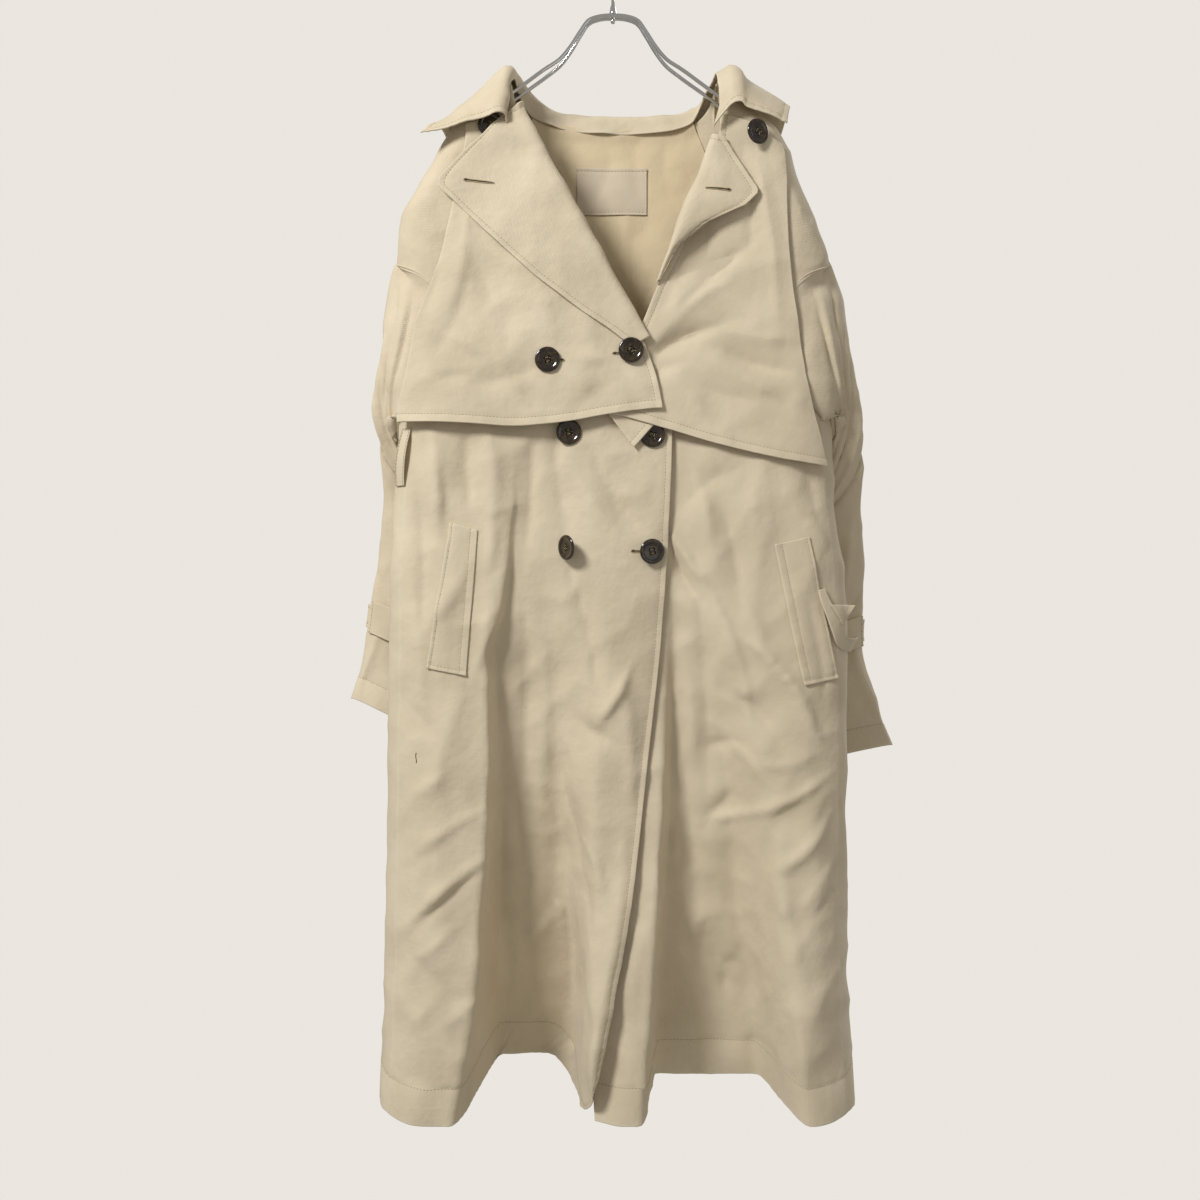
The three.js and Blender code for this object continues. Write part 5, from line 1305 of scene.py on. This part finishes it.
def thread_of_button():
    """Two bars of thread, of three strands each, across the holes."""
    r = BUTTON["holes"] / math.sqrt(2)
    bars = []
    for y in (-r, r):
        for aside in (-0.35, 0, 0.35):
            path = [(-r, y + aside * 0.6, 1.2), (-r * 0.8, y + aside, 2.35), (0, y + aside, 2.6),
                    (r * 0.8, y + aside, 2.35), (r, y + aside * 0.6, 1.2)]
            bars.append(tube(smooth_path(path, 0.5), 0.24, 6))
    return joined(bars)


shape, shape_faces, hole_shade_marks = button_mesh()
bars, bar_faces = thread_of_button()
for k, name in enumerate(BUTTON_NODES):
    row = [float(BUTTONS[c][k]) for c in ("x", "z", "off", "yaw", "pitch", "turn")]
    depth = front_depth if abs(row[0]) < 60 and row[1] < -500 else plain_depth
    button = mesh_object(name.replace("button", "shell_button"), seat(shape, *row, depth), shape_faces)
    # how deep each point sinks into a hole, which sets the painted shade in the holes
    button.data.attributes.new("hole", "FLOAT", "POINT").data.foreach_set("value", hole_shade_marks)
    face_outwards(button)
    piece(name, button, "button", SHELL)
    sewn = mesh_object("thread_of_" + name, seat(bars, *row, depth), bar_faces)
    face_outwards(sewn)
    dress(sewn, "twill", BUTTON_THREAD)


# ---------- hanger ----------
def hanger_side(hand, way):
    return np.stack([hand * HANGER["x"], way * HANGER["apart"], HANGER["z"]], axis=1)


loop = np.concatenate([hanger_side(1, -1), hanger_side(1, 1)[::-1], hanger_side(-1, 1)[1:],
                       hanger_side(-1, -1)[::-1][:-1]])
frame_wire = tube(smooth_path(loop, 3, closed=True), HANGER_WIRE / 2, 16, closed=True)
piece("hanger_frame", mesh_object("hanger_double_wire", *frame_wire), "wire", WIRE)
centre = HOOK["inside"] + HOOK["wire"] / 2
arc = [(centre * math.cos(math.radians(a)), 0, -HOOK["inside"] + centre * math.sin(math.radians(a)))
       for a in np.linspace(200, -20, 45)]
stem = [(16, 0, -36), (9, 0, -44), (2, 0, HOOK["neck"]), (0, 0, -56), (0, 0, -60)]
hook_line = smooth_path(arc + stem, 1.2)
thin = HOOK["wire"] / 2
cone = [(HOOK["cone_top"], thin), (HOOK["cone_top"] - 0.3, 2.3), (HOOK["cone_top"] - 1, 2.6),
        (HOOK["cone_low"] + 1.4, 3.8), (HOOK["cone_low"] + 0.5, HOOK["cone_wide"] / 2),
        (HOOK["cone_low"], 3.7), (HOOK["cone_low"] - 0.1, thin), (HOOK["end"] + 4.6, thin),
        (HOOK["end"] + 4, 2.2), (HOOK["end"] + 3.4, 2.4), (HOOK["end"] + 1.2, 2.4),
        (HOOK["end"] + 0.4, 1.9), (HOOK["end"], 1.0)]
path = [*map(tuple, hook_line), *[(0, 0, z) for z, _ in cone]]
radii = [thin * 0.8, *[thin] * (len(hook_line) - 1), *[r for _, r in cone]]
piece("hanger_hook", mesh_object("hanger_open_hook", *tube(path, np.array(radii), 18)), "wire", WIRE)
for name in ("hanger_frame", "hanger_hook"):
    face_outwards(made[name])


# ---------- stitches ----------
def on_piece(name, x, z):
    """Places on the front of a piece, in millimetres."""
    tree = BVHTree.FromPolygons([v.co for v in made[name].data.vertices],
                                [p.vertices for p in made[name].data.polygons])
    hits = [tree.ray_cast(Vector((a * MM, -0.4, b * MM)), Vector((0, 1, 0)))[0] for a, b in zip(x, z)]
    return np.array([np.array(hit) / MM for hit in hits])


def buttonhole(name, on, x0, z0, x1, z1):
    """A worked buttonhole: an oval of thread round its dark slit, with an eyelet at its first end."""
    size = math.hypot(x1 - x0, z1 - z0)
    along = np.array([x1 - x0, z1 - z0]) / size
    a = np.linspace(0, 2 * math.pi, 60, endpoint=False)
    reach = size * (1 + np.cos(a)) / 2
    wide = 1.0 + 1.0 * np.exp(-((reach - 2) / 2.2) ** 2)
    aside = wide * np.sign(np.sin(a)) * np.abs(np.sin(a)) ** 0.5
    ring = on_piece(on, x0 + along[0] * reach - along[1] * aside, z0 + along[1] * reach + along[0] * aside)
    slit = on_piece(on, *(start + way * np.linspace(1, size - 1, 20) for start, way in zip((x0, z0), along)))
    lip = np.array([0, -0.25, 0])
    for part, line, radius, finish, closed in (("thread", ring, 0.5, THREAD_WITH_SHADE, True),
                                               ("slit", slit, np.r_[0.9, 0.9, [0.35] * 18], SLIT, False)):
        obj = mesh_object(f"{name}_{part}", *tube(line + lip, radius, 8, closed))
        face_outwards(obj)
        dress(obj, "twill", finish)


loose = on_piece("front_right", np.array([-200, -200.5, -200.2, -199.6, -199.8]), np.linspace(-847, -857, 5))
thread_end = mesh_object("loose_dark_thread", *tube(loose - np.array([0, 0.3, 0]), 0.35, 8))
face_outwards(thread_end)
dress(thread_end, "twill", SLIT)
buttonhole("buttonhole_lapel_right", "lapel_right", -153, -262, -122, -266)
buttonhole("buttonhole_lapel_left", "lapel_left", 120, -273, 94, -271)
buttonhole("buttonhole_skirt_front", "front_right", 18, -642, 44, -643)
buttonhole("buttonhole_cape_front", "storm_flap_right", -1, -441, 30, -439)
buttonhole("buttonhole_cape_outer", "storm_flap_right", -50, -448, -76, -446)


def stitch_tree():
    """Stitches along lines: a small rounded bead of thread at every pitch, along the line."""
    tree = bpy.data.node_groups.new("line_of_stitches", "GeometryNodeTree")
    for name, kind in (("Geometry", "NodeSocketGeometry"), ("Pitch", "NodeSocketFloat"),
                       ("Length", "NodeSocketFloat"), ("Width", "NodeSocketFloat"),
                       ("Thread", "NodeSocketMaterial")):
        tree.interface.new_socket(name, in_out="INPUT", socket_type=kind)
    tree.interface.new_socket("Geometry", in_out="OUTPUT", socket_type="NodeSocketGeometry")
    source = node(tree, "NodeGroupInput")
    curve = node(tree, "GeometryNodeMeshToCurve", [("Mesh", source, "Geometry")])
    even = node(tree, "GeometryNodeResampleCurve", [("Curve", curve, "Curve"), ("Length", source, "Pitch")],
                set_mode="LENGTH")
    bead = node(tree, "GeometryNodeMeshUVSphere", Segments=6, Rings=5, Radius=0.5)
    size = node(tree, "ShaderNodeCombineXYZ", [("X", source, "Width"), ("Y", source, "Width"),
                                                ("Z", source, "Length")])
    tangent = node(tree, "GeometryNodeInputTangent")
    turn = node(tree, "FunctionNodeAlignRotationToVector", [("Vector", tangent, "Tangent")], set_axis="Z")
    copies = node(tree, "GeometryNodeInstanceOnPoints", [
        ("Points", even, "Curve"), ("Instance", bead, "Mesh"), ("Rotation", turn, "Rotation"),
        ("Scale", size, "Vector")])
    real = node(tree, "GeometryNodeRealizeInstances", [("Geometry", copies, "Instances")])
    finish = node(tree, "GeometryNodeSetMaterial", [("Geometry", real, "Geometry"),
                                                    ("Material", source, "Thread")])
    node(tree, "NodeGroupOutput", [("Geometry", finish, "Geometry")])
    return tree


STITCH_TREE = stitch_tree()


def stitches(name, lines, pitch, length, width):
    """All lines of stitches as one plain mesh."""
    points = np.concatenate(lines)
    edges, start = [], 0
    for line in lines:
        edges += [(start + k, start + k + 1) for k in range(len(line) - 1)]
        start += len(line)
    mesh = bpy.data.meshes.new(name + "_lines")
    mesh.from_pydata((points * MM).tolist(), edges, [])
    guide = bpy.data.objects.new(name + "_lines", mesh)
    bpy.context.scene.collection.objects.link(guide)
    modifier = guide.modifiers.new("stitches", "NODES")
    modifier.node_group = STITCH_TREE
    # the stitches' thread carries painted shade: darker than the cloth it matches
    values = {"Pitch": pitch * MM, "Length": length * MM, "Width": width * MM, "Thread": THREAD_WITH_SHADE}
    for item in STITCH_TREE.interface.items_tree:
        if item.in_out == "INPUT" and item.name in values:
            modifier[item.identifier] = values[item.name]
    guide.data.update()
    result = bpy.data.meshes.new_from_object(guide.evaluated_get(bpy.context.evaluated_depsgraph_get()))
    guide.modifiers.remove(modifier)
    bpy.data.objects.remove(guide)
    obj = bpy.data.objects.new(name, result)
    obj.data.shade_smooth()
    bpy.context.scene.collection.objects.link(obj)
    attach(obj, "root")


stitches("seam_stitches", stitch_lines, STITCH["pitch"], STITCH["length"], STITCH["width"])

# ---------- stage and light ----------
scene = bpy.context.scene
scene.view_settings.view_transform = "Standard"
world = bpy.data.worlds.new("room")
world.use_nodes = True
room = world.node_tree.nodes["Background"]
room.inputs["Color"].default_value = linear("#f2eee7")
seen = node(world.node_tree, "ShaderNodeLightPath")
strength = node(world.node_tree, "ShaderNodeMapRange", [("Value", seen, "Is Camera Ray")], To__Min=0.4,
                To__Max=0.93)
world.node_tree.links.new(strength.outputs["Result"], room.inputs["Strength"])
scene.world = world


def light(name, place, aim, power, size):
    """A round area light that shines from a place towards another, in metres and watts."""
    data = bpy.data.lights.new(name, "AREA")
    data.shape, data.size, data.energy = "DISK", size, power
    obj = bpy.data.objects.new(name, data)
    obj.location = place
    obj.rotation_euler = (Vector(aim) - Vector(place)).to_track_quat("-Z", "Y").to_euler()
    bpy.context.scene.collection.objects.link(obj)


light("window", (-1.5, -1.6, 0.9), (0, 0, -0.65), 60, 0.7)
light("fill", (1.8, -2.2, -0.4), (0, 0, -0.7), 3, 1.6)
light("behind", (1.9, 1.7, 0.9), (0, 0, -0.6), 26, 1.6)
